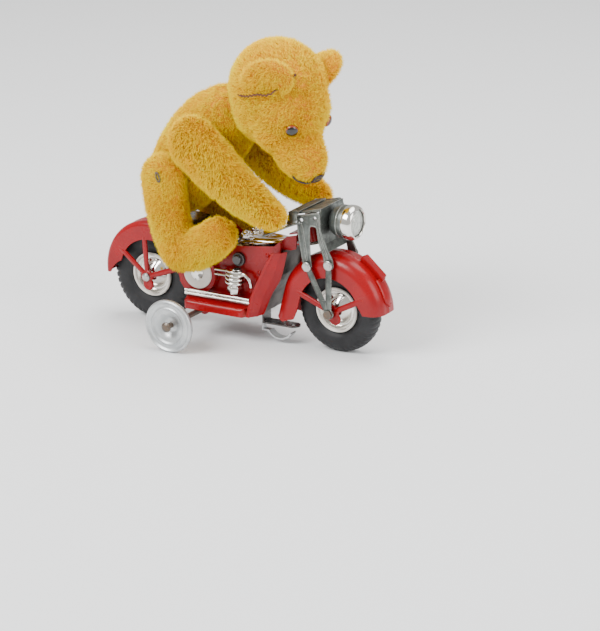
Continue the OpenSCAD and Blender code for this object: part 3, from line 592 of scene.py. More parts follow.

# ---- Mohair ----
# The rider is sewn from golden mohair plush and stuffed hard with wood wool. The pile stands
# about two millimetres, with painted shade at its roots and on the backing, and lies in whorls along each
# limb.


def build_pile_group():
    group = bpy.data.node_groups.new("mohair_pile", "GeometryNodeTree")
    group.interface.new_socket("Cloth", in_out="INPUT", socket_type="NodeSocketGeometry")
    for name, kind, value in (("Hair", "NodeSocketObject", None), ("Hairs", "NodeSocketFloat", 6e6),
                              ("Length", "NodeSocketFloat", 0.002), ("Lift", "NodeSocketFloat", 0.6),
                              ("Comb", "NodeSocketVector", None), ("Seed", "NodeSocketInt", 1),
                              ("Pile", "NodeSocketMaterial", None)):
        socket = group.interface.new_socket(name, in_out="INPUT", socket_type=kind)
        if value is not None:
            socket.default_value = value
    group.interface.new_socket("Plush", in_out="OUTPUT", socket_type="NodeSocketGeometry")
    link = group.links.new
    given = add_node(group, "NodeGroupInput")
    result = add_node(group, "NodeGroupOutput")
    roots = add_node(group, "GeometryNodeDistributePointsOnFaces")
    link(given.outputs["Cloth"], roots.inputs["Mesh"])
    link(given.outputs["Hairs"], roots.inputs["Density"])
    link(given.outputs["Seed"], roots.inputs["Seed"])
    place = add_node(group, "GeometryNodeInputPosition")

    def scaled(vector, factor):
        step = add_node(group, "ShaderNodeVectorMath", operation="SCALE")
        link(vector, step.inputs[0])
        if isinstance(factor, float):
            step.inputs["Scale"].default_value = factor
        else:
            link(factor, step.inputs["Scale"])
        return step.outputs[0]

    def added(a, b):
        step = add_node(group, "ShaderNodeVectorMath")
        link(a, step.inputs[0])
        link(b, step.inputs[1])
        return step.outputs[0]

    def swirl(scale, strength):
        texture = add_node(group, "ShaderNodeTexNoise", {"Scale": scale, "Detail": 2})
        centred = add_node(group, "ShaderNodeVectorMath", {1: (0.5, 0.5, 0.5)}, operation="SUBTRACT")
        link(place.outputs[0], texture.inputs["Vector"])
        link(texture.outputs["Color"], centred.inputs[0])
        return scaled(centred.outputs[0], strength)

    def drawn(low, high):
        """A random number for each hair."""
        return add_node(group, "FunctionNodeRandomValue", {2: low, 3: high}, data_type="FLOAT").outputs[1]

    # a hair heads out from the cloth, along the comb, and into whorls and small tufts
    heading = added(scaled(roots.outputs["Normal"], given.outputs["Lift"]), given.outputs["Comb"])
    heading = added(added(heading, swirl(70.0, 1.5)), swirl(420.0, 1.3))
    stray = 0.22
    wild = add_node(group, "FunctionNodeRandomValue", data_type="FLOAT_VECTOR")
    wild.inputs["Min"].default_value = (-stray, -stray, -stray)
    wild.inputs["Max"].default_value = (stray, stray, stray)
    link(given.outputs["Seed"], wild.inputs["Seed"])
    heading = added(heading, wild.outputs["Value"])
    stand = add_node(group, "FunctionNodeAlignRotationToVector", axis="Z")
    link(heading, stand.inputs["Vector"])
    about = add_node(group, "FunctionNodeAxisAngleToRotation", {"Axis": (0, 0, 1)})
    link(drawn(0, 6.283), about.inputs["Angle"])
    turn = add_node(group, "FunctionNodeRotateRotation", rotation_space="LOCAL")
    link(stand.outputs[0], turn.inputs[0])
    link(about.outputs[0], turn.inputs[1])
    longer = add_node(group, "ShaderNodeMath", operation="MULTIPLY")
    link(drawn(0.65, 1.15), longer.inputs[0])
    link(given.outputs["Length"], longer.inputs[1])
    # the hairs are planted, tinted one by one, made real and given the pile colour with its painted root
    # shade
    hair = add_node(group, "GeometryNodeObjectInfo")
    link(given.outputs["Hair"], hair.inputs["Object"])
    plant = add_node(group, "GeometryNodeInstanceOnPoints")
    link(roots.outputs["Points"], plant.inputs["Points"])
    link(hair.outputs["Geometry"], plant.inputs["Instance"])
    link(turn.outputs[0], plant.inputs["Rotation"])
    link(longer.outputs[0], plant.inputs["Scale"])
    tint = add_node(group, "GeometryNodeStoreNamedAttribute", {"Name": "tint"}, domain="INSTANCE")
    link(plant.outputs[0], tint.inputs["Geometry"])
    link(drawn(0, 1), tint.inputs["Value"])
    real = add_node(group, "GeometryNodeRealizeInstances")
    dye = add_node(group, "GeometryNodeSetMaterial")
    link(tint.outputs[0], real.inputs[0])
    link(real.outputs[0], dye.inputs["Geometry"])
    link(given.outputs["Pile"], dye.inputs["Material"])
    both = add_node(group, "GeometryNodeJoinGeometry")
    link(dye.outputs[0], both.inputs[0])
    link(given.outputs["Cloth"], both.inputs[0])
    link(both.outputs[0], result.inputs["Plush"])
    return group


def build_hair():
    """One hair a metre long: three-sided, thin at the tip and a little bent."""
    rings = [(0, 0, 0.052), (0.5, 0.06, 0.044)]
    points, reach = [], []
    for height, lean_out, radius in rings:
        for corner in range(3):
            turn = 2 * math.pi * corner / 3
            points.append((lean_out + radius * math.cos(turn), radius * math.sin(turn), height))
            reach.append(height)
    points.append((0.26, 0, 1))
    reach.append(1)
    faces = [(0, 2, 1)]
    for corner in range(3):
        other = (corner + 1) % 3
        faces += [(corner, other, other + 3, corner + 3), (corner + 3, other + 3, 6)]
    mesh = bpy.data.meshes.new("hair")
    mesh.from_pydata(points, [], faces)
    mesh.polygons.foreach_set("use_smooth", [True] * len(faces))
    mesh.attributes.new("reach", "FLOAT", "POINT").data.foreach_set("value", reach)
    return linked("hair", mesh)


def build_mohair():
    pile = new_finish("mohair_pile", {"Roughness": 0.55, "Specular IOR Level": 0.03})
    tree = pile.node_tree
    reach = add_node(tree, "ShaderNodeAttribute", attribute_name="reach")
    tint = add_node(tree, "ShaderNodeAttribute", attribute_name="tint")
    wear = worn(pile, {"Blotch Scale": 55, "Blotch Amount": 0.55})
    # painted shade: each hair darkens from the middle of its length down to the root, for the shade deep in
    # the pile
    rise = add_node(tree, "ShaderNodeMapRange", {"From Max": 0.6})
    tree.links.new(reach.outputs["Fac"], rise.inputs["Value"])
    tip = blend(pile, tint.outputs["Fac"], (1.0, 0.6, 0.0), (1.0, 0.8, 0.0))
    warm = blend(pile, wear.outputs["Blotch"], tip, (1.0, 0.5, 0.0))
    paint(pile, blend(pile, rise.outputs["Result"], (0.8, 0.36, 0.0), warm))
    # painted shade: the backing cloth is darker than the pile, for the shade between the hairs; the weave
    # grain on it is real texture
    cloth = new_finish("mohair_backing", {"Roughness": 0.9})
    weave = worn(cloth, {"Grain Scale": 1500}).outputs["Grain"]
    paint(cloth, blend(cloth, weave, (0.66, 0.24, 0.002), (0.85, 0.38, 0.006)))
    return pile, cloth


mohair_pile = build_pile_group()
hair = build_hair()
pile_dye_and_root_shade, backing_dye_and_shade = build_mohair()
hairs_per_area = 8.5e6


def finished_mesh(piece, name):
    """The piece with its modifiers applied, as a plain mesh object."""
    graph = bpy.context.evaluated_depsgraph_get()
    made = linked(name, bpy.data.meshes.new_from_object(piece.evaluated_get(graph)))
    bpy.data.objects.remove(piece)
    return made


def stuffed(name, lumps, voxel=0.9, rounds=9):
    """One smooth skin round many lumps: (place, radii in millimetres, turn in degrees about X, Y, Z)."""
    shape = bmesh.new()
    for place, radii, turns in lumps:
        pose = Matrix.Translation(place)
        for axis, degrees in zip("XYZ", turns):
            pose = pose @ Matrix.Rotation(math.radians(degrees), 4, axis)
        pose = pose @ Matrix.Diagonal((*(r * MM for r in radii), 1))
        bmesh.ops.create_icosphere(shape, subdivisions=4, radius=1, matrix=pose)
    mesh = bpy.data.meshes.new(name)
    shape.to_mesh(mesh)
    shape.free()
    mesh.materials.append(backing_dye_and_shade)
    raw = linked(name + "_raw", mesh)
    remesh = raw.modifiers.new("skin", "REMESH")
    remesh.mode = "VOXEL"
    remesh.voxel_size = voxel * MM
    remesh.use_smooth_shade = True
    smooth = raw.modifiers.new("pull", "SMOOTH")
    smooth.factor = 0.5
    smooth.iterations = rounds
    return finished_mesh(raw, name)


def along_limb(stations, y, thickness):
    """Lumps along a limb: stations are (x, z, radius); the limb is flatter from side to side."""
    lumps = []
    for first, second in zip(stations, stations[1:]):
        for step in range(6):
            t = step / 6
            x, z, r = (a + (b - a) * t for a, b in zip(first, second))
            lumps.append((at(x, y, z), (r, min(r, thickness), r), (0, 0, 0)))
    x, z, r = stations[-1]
    lumps.append((at(x, y, z), (r, min(r, thickness), r), (0, 0, 0)))
    return lumps


def with_pile(skin, name, node, body, comb, length=2.0, lift=0.6, seed=1):
    modifier = skin.modifiers.new("pile", "NODES")
    modifier.node_group = mohair_pile
    values = {"Hair": hair, "Hairs": hairs_per_area, "Length": length * MM, "Lift": lift,
              "Comb": comb, "Seed": seed, "Pile": pile_dye_and_root_shade}
    for socket in mohair_pile.interface.items_tree:
        if socket.in_out == "INPUT" and socket.name in values:
            modifier[socket.identifier] = values[socket.name]
    made = finished_mesh(skin, name)
    fitted(made, node, body)


# ---- The rider's body, arms and legs ----
# The torso leans forwards over the tank. Each limb is a flat sewn pad, hung on the torso by a
# wire cotter whose bent end shows on the outside.

torso_lumps = along_limb([(15.5, 64, 14.2), (20, 72, 15.2), (27, 80.5, 15.8), (33, 87, 14.6),
                          (38, 91.5, 12.4)], 0, 13)
torso = stuffed("bear_torso_skin", torso_lumps)
with_pile(torso, "bear_torso_plush", "bear_torso", "chassis", (-0.25, 0, -0.35), seed=11)
for side, name in ((-1, "right"), (1, "left")):
    arm_lumps = along_limb([(32, 83.2, 10.3), (39.5, 77.2, 10), (46.5, 71.2, 9), (54, 65.8, 8),
                            (60.5, 61.8, 6.4), (66, 58.7, 4.9), (69, 57.9, 4.1)], side * 17.6, 5.4)
    arm = stuffed(f"bear_arm_{name}_skin", arm_lumps)
    with_pile(arm, f"bear_arm_{name}_plush", f"bear_arm_{name}", f"arm_{name}", (0.25, side * 0.1, -0.3),
              length=2.6, lift=0.7, seed=21 + side)
    leg_lumps = along_limb([(17.2, 67.2, 9.2), (17.6, 57.5, 8.6), (20.2, 47, 8), (24, 38.2, 8.4),
                            (31, 38.8, 7.7), (38, 42.6, 7.3), (43, 46.6, 6.7)], side * 17.6, 5.6)
    leg = stuffed(f"bear_leg_{name}_skin", leg_lumps)
    with_pile(leg, f"bear_leg_{name}_plush", f"bear_leg_{name}", f"leg_{name}", (-0.1, side * 0.1, -0.3),
              length=2.1, seed=31 + side)

# ---- The rider's head ----
# The head is sewn from a middle strip and two sides, with cup-shaped ears, black boot-button
# eyes, and a nose and mouth worked in dark brown thread. It turns on a disc joint at the neck.

turned_by = -19
head_lumps = [
    (at(61.5, 0, 105.6), (18.9, 18.2, 18.6), (0, 0, turned_by)),
    (at(66, -1.5, 99), (16.4, 16.4, 16), (0, 0, turned_by)),
    (at(58, 0.5, 97), (14.5, 15.5, 13.5), (0, 0, 0)),
    (at(67.0, -2.2, 92.5), (12.4, 14, 12.5), (0, 0, turned_by)),
    (at(71.6, -3.8, 86), (9.4, 10, 10), (0, 0, turned_by)),
    (at(75.6, -4.8, 80.2), (8.7, 8.2, 8.4), (0, 0, turned_by)),
    (at(77.2, -5.4, 76.6), (6.8, 6.4, 5.6), (0, 0, turned_by)),
    (at(70.8, -3.6, 79.5), (6.6, 6.4, 6.2), (0, 0, turned_by)),
]
near_ear = (at(66.6, -16.6, 112.6), (11.2, 3.2, 7.6), (22, -20, 4))
far_ear = (at(71.6, 15.4, 109.6), (10.2, 3.6, 9.9), (-30, 40, -36))
head_lumps += [near_ear, far_ear]
head = stuffed("bear_head_skin", head_lumps, voxel=0.8, rounds=5)
head_surface = BVHTree.FromPolygons([v.co.copy() for v in head.data.vertices],
                                    [tuple(p.vertices) for p in head.data.polygons])
with_pile(head, "bear_head_plush", "bear_head", "head", (-0.28, 0, 0.05), seed=41)


def dyed_thread(name, colour):
    thread = new_finish(name, {"Roughness": 0.55})
    wear = worn(thread, {"Grain Scale": 3000})
    dark, light = tuple(c * 0.5 for c in colour), tuple(min(1, c * 1.6) for c in colour)
    paint(thread, blend(thread, wear.outputs["Grain"], dark, light))
    emboss(thread, wear.outputs["Grain"], 0.5, 0.0002)
    return thread


black_thread = dyed_thread("black_thread", (0.03, 0.017, 0.012))
brown_thread = dyed_thread("brown_thread", (0.11, 0.04, 0.012))


def cord_mesh(name, places, radius, finish, sides=8, taper=False):
    """A round wire or thread through the places, closed at both ends."""
    rings = []
    reference = Vector((0.3, 0.5, 0.8))
    for i, place in enumerate(places):
        ahead = (places[min(i + 1, len(places) - 1)] - places[max(i - 1, 0)]).normalized()
        across = ahead.cross(reference).normalized()
        above = across.cross(ahead)
        end = min(i, len(places) - 1 - i) / max(1, len(places) - 1)
        swell = radius * (min(1, 0.35 + end * 6) if taper else 1)
        rings.append([place + (across * math.cos(a) + above * math.sin(a)) * swell * MM
                      for a in (2 * math.pi * k / sides for k in range(sides))])
    return skinned(name, rings, finish, smooth_under=60)


def curve_through(places, count):
    """Catmull-Rom points through the places."""
    ends = [places[0] * 2 - places[1]] + list(places) + [places[-1] * 2 - places[-2]]
    made = []
    for i in range(count):
        f = i / (count - 1) * (len(places) - 1)
        k = min(int(f), len(places) - 2)
        t = f - k
        a, b, c, d = ends[k:k + 4]
        made.append(0.5 * (2 * b + (c - a) * t + (2 * a - 5 * b + 4 * c - d) * t * t
                           + (3 * b - a - 3 * c + d) * t ** 3))
    return made


def on_head(x, y, z, stand):
    """The nearest place on the head's skin, raised through the pile."""
    spot, normal, _, _ = head_surface.find_nearest(at(x, y, z))
    return spot + normal * stand * MM


# nose: nine satin stitches side by side, then the mouth line that curls up at the near side
stitches = []
for i in range(9):
    from_middle = i - 4
    shift = from_middle * 0.62
    ends = [on_head(83.6 - 0.12 * abs(from_middle), -5.9 + shift, 74.6, 1.2),
            on_head(82.6 - 0.2 * abs(from_middle), -6 + shift, 72.2, 1.45),
            on_head(80.8, -5.9 + shift, 71 + 0.1 * abs(from_middle), 1.2)]
    stitches.append(cord_mesh("stitch", curve_through(ends, 9), 0.46, black_thread, taper=True))
carried(joined("bear_nose_stitches", stitches), "head")
mouth = [on_head(*p) for p in ((81.0, -6.8, 71.2, 1.2), (79.2, -8.6, 71.2, 1.4), (77.4, -10.0, 71.8, 1.5),
                               (75.9, -10.9, 73.0, 1.6), (74.8, -11.4, 74.6, 1.5))]
far_mouth = [on_head(*p) for p in ((81.0, -5.8, 71.2, 1.2), (80.1, -2.6, 71.4, 1.4), (78.6, 0.0, 72.6, 1.5),
                                   (77.6, 1.2, 74.2, 1.5))]
mouth_threads = [cord_mesh("mouth", curve_through(line, count), 0.42, black_thread, taper=True)
                 for line, count in ((mouth, 22), (far_mouth, 18))]
carried(joined("bear_mouth_thread", mouth_threads), "head")

# eyes: glass buttons, black in the middle and red-brown at the rim
eye_glass = new_finish("eye_glass", {"Roughness": 0.08, "Coat Weight": 0.4})
iris = add_node(eye_glass.node_tree, "ShaderNodeAttribute", attribute_name="rim")
iris_ramp = add_node(eye_glass.node_tree, "ShaderNodeValToRGB")
pupil, rim_brown = iris_ramp.color_ramp.elements
pupil.position, pupil.color = 0.8, (0.004, 0.003, 0.003, 1)
rim_brown.position, rim_brown.color = 0.98, (0.3, 0.045, 0.01, 1)
eye_glass.node_tree.links.new(iris.outputs["Fac"], iris_ramp.inputs["Fac"])
paint(eye_glass, iris_ramp.outputs["Color"])
eye_radius, eye_bulge, eye_stand = 2.6 * MM, 1.8 * MM, 0.9 * MM
for name, place in (("near", (73.8, -11.4, 94.2)), ("far", (78.4, 5.6, 93.4))):
    spot, normal, _, _ = head_surface.find_nearest(at(*place))
    look = normal.to_track_quat("Z", "Y").to_matrix().to_4x4()
    shape = bmesh.new()
    bmesh.ops.create_icosphere(shape, subdivisions=4, radius=1,
                               matrix=Matrix.Diagonal((eye_radius, eye_radius, eye_bulge, 1)))
    mesh = bpy.data.meshes.new("eye")
    shape.to_mesh(mesh)
    shape.free()
    rim_values = [Vector((v.co.x, v.co.y)).length / eye_radius for v in mesh.vertices]
    mesh.attributes.new("rim", "FLOAT", "POINT").data.foreach_set("value", rim_values)
    mesh.transform(Matrix.Translation(spot + normal * eye_stand) @ look)
    mesh.polygons.foreach_set("use_smooth", [True] * len(mesh.polygons))
    mesh.materials.append(eye_glass)
    carried(linked(f"bear_eye_{name}", mesh), "head")

# the ear is drawn to the head with a line of brown overcast thread
seam = [on_head(*p) for p in ((55.2, -17.0, 105.8, 2.4), (59.5, -18.6, 106.0, 2.4),
                              (64.5, -18.6, 107.4, 2.5), (69.5, -17.4, 109.8, 2.6),
                              (73.0, -15.8, 112.2, 2.6), (76.2, -13.6, 114.8, 2.6))]
seam_line = curve_through(seam, 60)
for i, place in enumerate(seam_line):
    place += Vector((0, 0, 0.28 * math.sin(i * 1.7) * MM))
carried(cord_mesh("bear_ear_seam", seam_line, 0.42, brown_thread, sides=6, taper=True), "head")

# the single hair that the pile was planted from isn't a piece of the toy
bpy.data.objects.remove(hair)

# ---- Hip and shoulder wires ----
# The wire cotters that hang the legs and arms have bent ends: an oval eye shows outside each hip,
# and a short dark dash outside each shoulder.

eye_turns = [2 * math.pi * k / 24 for k in range(25)]
for side, name in ((-1, "right"), (1, "left")):
    hip_eye = [at(18.5 + 0.8 * math.cos(t) + 0.5 * math.sin(t), side * 24, 69.1 - 1.9 * math.sin(t))
               for t in eye_turns]
    carried(cord_mesh(f"bear_hip_eye_{name}", hip_eye, 0.42, dark_steel), f"leg_{name}")
    dash = [at(38.9, side * 23.7, 75.4), at(39.7, side * 24.0, 75), at(40.6, side * 23.7, 74.7)]
    carried(cord_mesh(f"bear_shoulder_wire_{name}", dash, 0.3, dark_steel), f"arm_{name}")

# ---- Leg shields and footboards ----
# One pressing on each side of the body: the shield sweeps out from the nose with a bead pressed
# along its free edge, and the board below it has a raised tread line and a turned-down rim.


def leg_shield(side, name):
    inner = curve_through([Vector(p) for p in ((69.4, 8.6, 40.6), (66.2, 8.6, 29.3),
                                               (61.8, 8.6, 21.8), (57.8, 8.6, 12.8))], 29)
    outer = curve_through([Vector(p) for p in ((64.2, 12.2, 40.4), (59.4, 12.9, 31.4),
                                               (54.8, 14.1, 20.2), (53.9, 15.9, 12.8))], 29)
    shield_tin = 0.55
    rings = []
    for i, (near, far) in enumerate(zip(inner, outer)):
        along = inner[min(i + 1, 28)] - inner[max(i - 1, 0)]
        outwards = along.cross(far - near).normalized()
        front, back = [], []
        for j in range(21):
            s = j / 20
            rise = 0.5 * math.sin(math.pi * s) + 0.34 * math.exp(-((s - 0.9) / 0.05) ** 2)
            rise += 0.2 * math.exp(-((s - 0.42) / 0.07) ** 2)
            place = near.lerp(far, s)
            front.append(place + outwards * rise)
            back.append(place + outwards * (rise - shield_tin))
        rings.append([at(p.x, side * p.y, p.z) for p in front + back[::-1]])
    shield = skinned(f"leg_shield_{name}_pressing", rings, red_enamel, smooth_under=60)
    fitted(shield, f"leg_shield_{name}", "chassis")


def footboard(side, name):
    top = [(8.45, 17.35), (10, 17.3), (11.4, 17.0), (12.2, 16.5), (13, 15.85), (13.8, 15.5), (14.2, 15.5),
           (14.5, 15.75), (14.8, 15.85), (15.1, 15.7), (15.5, 15.3), (15.8, 14.8), (15.95, 14.2), (16, 12.3)]
    under = [(15.5, 12.3), (15.45, 14.1), (15, 14.9), (14.2, 14.95), (13.2, 15.2), (12.2, 15.8),
             (11.2, 16.4), (8.45, 16.75)]
    board_start, board_run, board_edge, corner_radius = 22.8, 30, 16, 2.6
    rings = []
    for step in range(41):
        run = board_run * step / 40
        corner = max(0, corner_radius - min(run, board_run - run))
        reach = board_edge - corner_radius + math.sqrt(max(0, corner_radius ** 2 - corner ** 2))
        rings.append([at(board_start + run, side * min(y, reach + (y - board_edge) * 0.2), z)
                      for y, z in top + under])
    board = skinned(f"footboard_{name}_pressing", rings, red_enamel, smooth_under=50)
    fitted(board, f"footboard_{name}", "chassis")


for side, name in ((-1, "right"), (1, "left")):
    leg_shield(side, name)
    footboard(side, name)

# ---- Tank ----
# The tank is a bright plated pressing with a rolled lip round a domed top. Two knurled filler
# caps of the same plate are pressed into it side by side.

tank_back, tank_run, tank_foot, tank_slope = 47, 16.4, 40.35, 0.122
tank_rings = []
for scale, rise in ((0.9, 0), (0.97, 0.02), (1, 0.2), (1, 0.45), (0.97, 0.62), (0.93, 0.68), (0.9, 0.75),
                    (0.89, 0.95), (0.87, 1.35), (0.82, 1.8), (0.74, 2.2), (0.62, 2.5), (0.45, 2.68),
                    (0.25, 2.76), (0.05, 2.78)):
    ring = []
    for step in range(96):
        turn = 2 * math.pi * step / 96
        ahead = 0.5 + 0.5 * math.cos(turn)
        centre = tank_back + tank_run * ahead ** 0.8 * (0.4 + 0.6 * scale) + 7 * (1 - scale) * (1 - ahead)
        radius = (8.1 - 3.5 * ahead) * scale
        x = centre + radius * math.cos(turn)
        ring.append(at(x, radius * math.sin(turn),
                       tank_foot + tank_slope * (x - tank_back) + rise * (1 - 0.35 * ahead)))
    tank_rings.append(ring)
fitted(skinned("tank_cover_pressing", tank_rings, bright_plate, smooth_under=50),
       "tank_cover", "chassis")


def knurl(teeth, depth):
    return lambda turn, r, along: -depth * (0.5 + 0.5 * math.cos(turn * teeth)) if r > 2 else 0


def stood(piece, place, lean=0.0):
    """Stands a piece that was turned about X, at a place and leaning forwards by some degrees."""
    piece.data.transform(Matrix.Translation(place) @ Matrix.Rotation(math.radians(lean - 90), 4, "Y"))
    return piece


cap_line = [(0, -0.6), (2.0, -0.6), (2.4, 0), (2.4, 1.3), (2.1, 1.6), (1.8, 1.65), (1.7, 2.2), (1.4, 2.4),
            (0, 2.45)]
caps = [stood(turned("cap", cap_line, Vector(), bright_plate, axis="X", steps=96, closed=False,
                     ripple=knurl(24, 0.2), smooth_under=50), at(47.6, y, 43.2)) for y in (-4.2, 4.2)]
fitted(joined("filler_caps_knurled", caps), "filler_caps", "chassis")

# ---- Engine, exhaust and gearbox trim ----
# A plated cylinder with cooling fins stands on each side, with twin exhaust pipes run below it.
# The gearbox is a cream ring round a plated boss, and the air cleaner above is black.


def hexagon(turn, r, along):
    if along > 3.05 or r < 1:
        return 0
    flat = turn % (math.pi / 3) - math.pi / 6
    return r * (math.cos(math.pi / 6) / math.cos(flat) - 1)


shell_face, pipe_bend = 8.42, 5.4
for side, name in ((-1, "right"), (1, "left")):
    barrel = [(0, 0), (2.7, 0), (2.9, 0.2), (2.9, 2.8), (2.7, 3.0), (2.6, 3.1), (2.6, 4.2)]
    for fin in range(4):
        low = 4.4 + 1.7 * fin
        barrel += [(2.7, low - 0.1), (4.0, low), (4.2, low + 0.2), (4.2, low + 0.6), (4.0, low + 0.85),
                   (2.7, low + 0.95)]
    barrel += [(2.6, 10.6), (1.8, 10.75), (0, 10.8)]
    cylinder = stood(turned("barrel", barrel, Vector(), bright_plate, axis="X", steps=72, closed=False,
                            ripple=hexagon, smooth_under=45), at(45, side * 10.6, 20.6), 6)
    for vertex in cylinder.data.vertices:
        vertex.co.y = side * max(side * vertex.co.y, shell_face * MM)
    parts = [cylinder]
    bend = [at(48.2 + pipe_bend * math.cos(t), side * 11.2, 24.2 + pipe_bend * math.sin(t))
            for t in (math.radians(90 * k / 16) for k in range(17))]
    parts.append(cord_mesh("front_pipe", bend, 0.8, bright_plate, sides=24))
    if side < 0:
        for z in (27.6, 29.6):
            parts.append(cord_mesh("pipe", [at(36.4 + k, -11.2, z) for k in range(9)], 0.55,
                                   bright_plate, sides=20))
    fitted(joined(f"engine_{name}_cylinder", parts), f"engine_{name}", "chassis")

pipes, cleaners, ring_discs = [], [], []
for side in (-1, 1):
    for z in (17.9, 19.3):
        pipes.append(cord_mesh("pipe", [at(22.6 + 31 * k / 40, side * 12.9, z) for k in range(41)], 0.66,
                               bright_plate, sides=24))
    for x in (22.6, 44):
        pipes.append(cord_mesh("strap", [at(x + 0.6, side * y, 18.4) for y in (8.4, 10, 11.6, 12.9)], 0.5,
                               bright_plate, sides=12))
    cleaners.append(turned("cleaner", [(0, side * 8.4), (2.9, side * 8.4), (2.95, side * 9.3),
                                       (2.75, side * 9.75), (2.3, side * 9.85), (2.05, side * 9.7),
                                       (1.95, side * 10.6), (1.7, side * 10.95), (0, side * 11)],
                           at(46.6, 0, 34.6), black_enamel, steps=64, closed=False, smooth_under=50))
    ring_discs.append(turned("ring_disc", [(2.9, side * 10.8), (2.9, side * 11.35), (3.2, side * 11.5),
                                           (4.2, side * 11.35), (5.4, side * 11.35), (6.2, side * 11.55),
                                           (6.6, side * 11.4), (6.65, side * 10.8)],
                             at(27.7, 0, 26.6), cream_enamel, steps=96, smooth_under=50))
fitted(joined("exhaust_pipe_pairs", pipes), "exhaust_pipes", "chassis")
fitted(joined("air_cleaner_pressings", cleaners), "air_cleaners", "chassis")
fitted(joined("gearbox_ring_discs", ring_discs), "gearbox_rings", "chassis")

# ---- Fork ----
# Each side of the fork is one grey tinplate stamping: two legs with rolled edges and a stiffening
# ridge. Channel links run on from the bolts at the foot of the legs to the front axle.


def rounded_outline(corners, radius, steps=4):
    """The outline with each corner replaced by a short curve."""
    made = []
    count = len(corners)
    for i in range(count):
        before, corner, after = (Vector(corners[(i + k) % count]) for k in (-1, 0, 1))
        start = corner + (before - corner) * min(0.45, radius / (before - corner).length)
        end = corner + (after - corner) * min(0.45, radius / (after - corner).length)
        for step in range(steps + 1):
            t = step / steps
            made.append(tuple((1 - t) ** 2 * start + 2 * t * (1 - t) * corner + t * t * end))
    return made


def plate(name, outline, y, thickness, side, finish, holes=(), bevel=0.12):
    """A flat stamping across the bike's side, with round holes (x, z, radius) and eased edges."""
    shape = bmesh.new()
    loops = [outline] + [[(x + r * math.cos(math.pi * k / 12), z + r * math.sin(math.pi * k / 12))
                          for k in range(24)] for x, z, r in holes]
    for loop in loops:
        verts = [shape.verts.new(at(x, side * y, z)) for x, z in loop]
        for a, b in zip(verts, verts[1:] + verts[:1]):
            shape.edges.new((a, b))
    bmesh.ops.triangle_fill(shape, edges=list(shape.edges), use_beauty=True)
    made = bmesh.ops.extrude_face_region(shape, geom=list(shape.faces))
    for part in made["geom"]:
        if isinstance(part, bmesh.types.BMVert):
            part.co.y += side * thickness * MM
    bmesh.ops.recalc_face_normals(shape, faces=shape.faces)
    sharp = [e for e in shape.edges if len(e.link_faces) == 2 and e.calc_face_angle() > math.radians(50)]
    bmesh.ops.bevel(shape, geom=sharp, offset=bevel * MM, segments=2, affect="EDGES", profile=0.5)
    mesh = bpy.data.meshes.new(name)
    shape.to_mesh(mesh)
    shape.free()
    mesh.materials.append(finish)
    piece = linked(name, mesh)
    smooth_by_angle(piece, 35)
    return piece


bolt_a, bolt_b = (79.3, 36.5), (89.2, 38.4)
fork_line = rounded_outline(
    [(74.5, 56.9), (85.1, 59.4), (85.5, 52), (88.3, 45.4), (90.9, 40.4), (91.1, 37.5), (89.8, 36.5),
     (88, 36.7), (87.2, 38.4), (86.6, 42), (84.6, 47), (83.6, 53.4), (80.6, 53.4), (80.4, 48), (80.6, 41),
     (81.1, 36.6), (80.4, 35.1), (78.6, 34.9), (77.5, 36.2), (76.7, 40.5), (75.3, 48.6)], 1.0)
leg_ridges = ([(76.8, 54), (77.6, 48.6), (78.5, 43), (79, 38.8)],
              [(84.4, 56.5), (84.5, 52.6), (86.4, 46.2), (88.7, 40.8)])
for side, name in ((-1, "right"), (1, "left")):
    parts = [plate("fork_plate", fork_line, 8.95, 0.6, side, aged_tin,
                   holes=((*bolt_a, 1.0), (*bolt_b, 1.0), (76.8, 55.4, 0.7), (83, 56.8, 0.7)))]
    rim_line = [at(x, side * 9.5, z) for x, z in fork_line]
    parts.append(cord_mesh("rolled_edge", rim_line + rim_line[:1], 0.22, aged_tin, sides=8))
    for ridge in leg_ridges:
        line = curve_through([at(x, side * 9.5, z) for x, z in ridge], 24)
        parts.append(cord_mesh("ridge", line, 0.34, aged_tin, sides=10, taper=True))
    fitted(joined(f"fork_{name}_stamping", parts), f"fork_{name}", "steering")

links, bolts = [], []
for side in (-1, 1):
    for bolt, foot in ((bolt_a, (88.7, 18)), (bolt_b, (88.9, 18))):
        links.append(spoke(bolt, foot, 9.98, 2.6, side, aged_tin))
        links.append(boss(*bolt, 9.98, 1.75, side, aged_tin, rise=0.5))
        bolts.append(turned("bolt", [(0, side * 8), (1, side * 8), (1, side * 10.4), (1.9, side * 10.5),
                                     (1.95, side * 10.75), (1.7, side * 10.95), (1.25, side * 10.95),
                                     (1.15, side * 11.25), (0, side * 11.35)],
                            at(bolt[0], 0, bolt[1]), clean_steel, steps=48, closed=False, smooth_under=50))
    links.append(boss(wheelbase, front_radius, 9.98, 2.1, side, aged_tin, rise=0.5))
fitted(joined("fork_link_channels", links), "fork_links", "steering")
fitted(joined("fork_bolts_turned", bolts), "fork_bolts", "steering")
repaint("fork_apron", aged_tin)
repaint("front_axle", dark_steel)

# ---- Handlebar ----
# A flat tin strip is clamped under the stem's head and its ends are bent down and swept back
# under the paws. A lever with a ragged end stands at the near grip, and one with an eye at the far.


def strip(name, stations, across, thickness, finish):
    """A bent strip through (place, half width) stations; its width lies along across."""
    rings = []
    edge = 0.18
    across = Vector(across).normalized()
    for i, (place, half) in enumerate(stations):
        place = at(*place)
        ahead = at(*stations[min(i + 1, len(stations) - 1)][0]) - at(*stations[max(i - 1, 0)][0])
        above = ahead.cross(across).normalized() * (thickness / 2)
        ring = []
        for u, v in ((-1, -0.4), (-1, 0.4), (-1 + edge, 1), (1 - edge, 1), (1, 0.4), (1, -0.4),
                     (1 - edge, -1), (-1 + edge, -1)):
            ring.append(place + (across * u * half + above * v) * MM)
        rings.append(ring)
    return skinned(name, rings, finish, smooth_under=50)


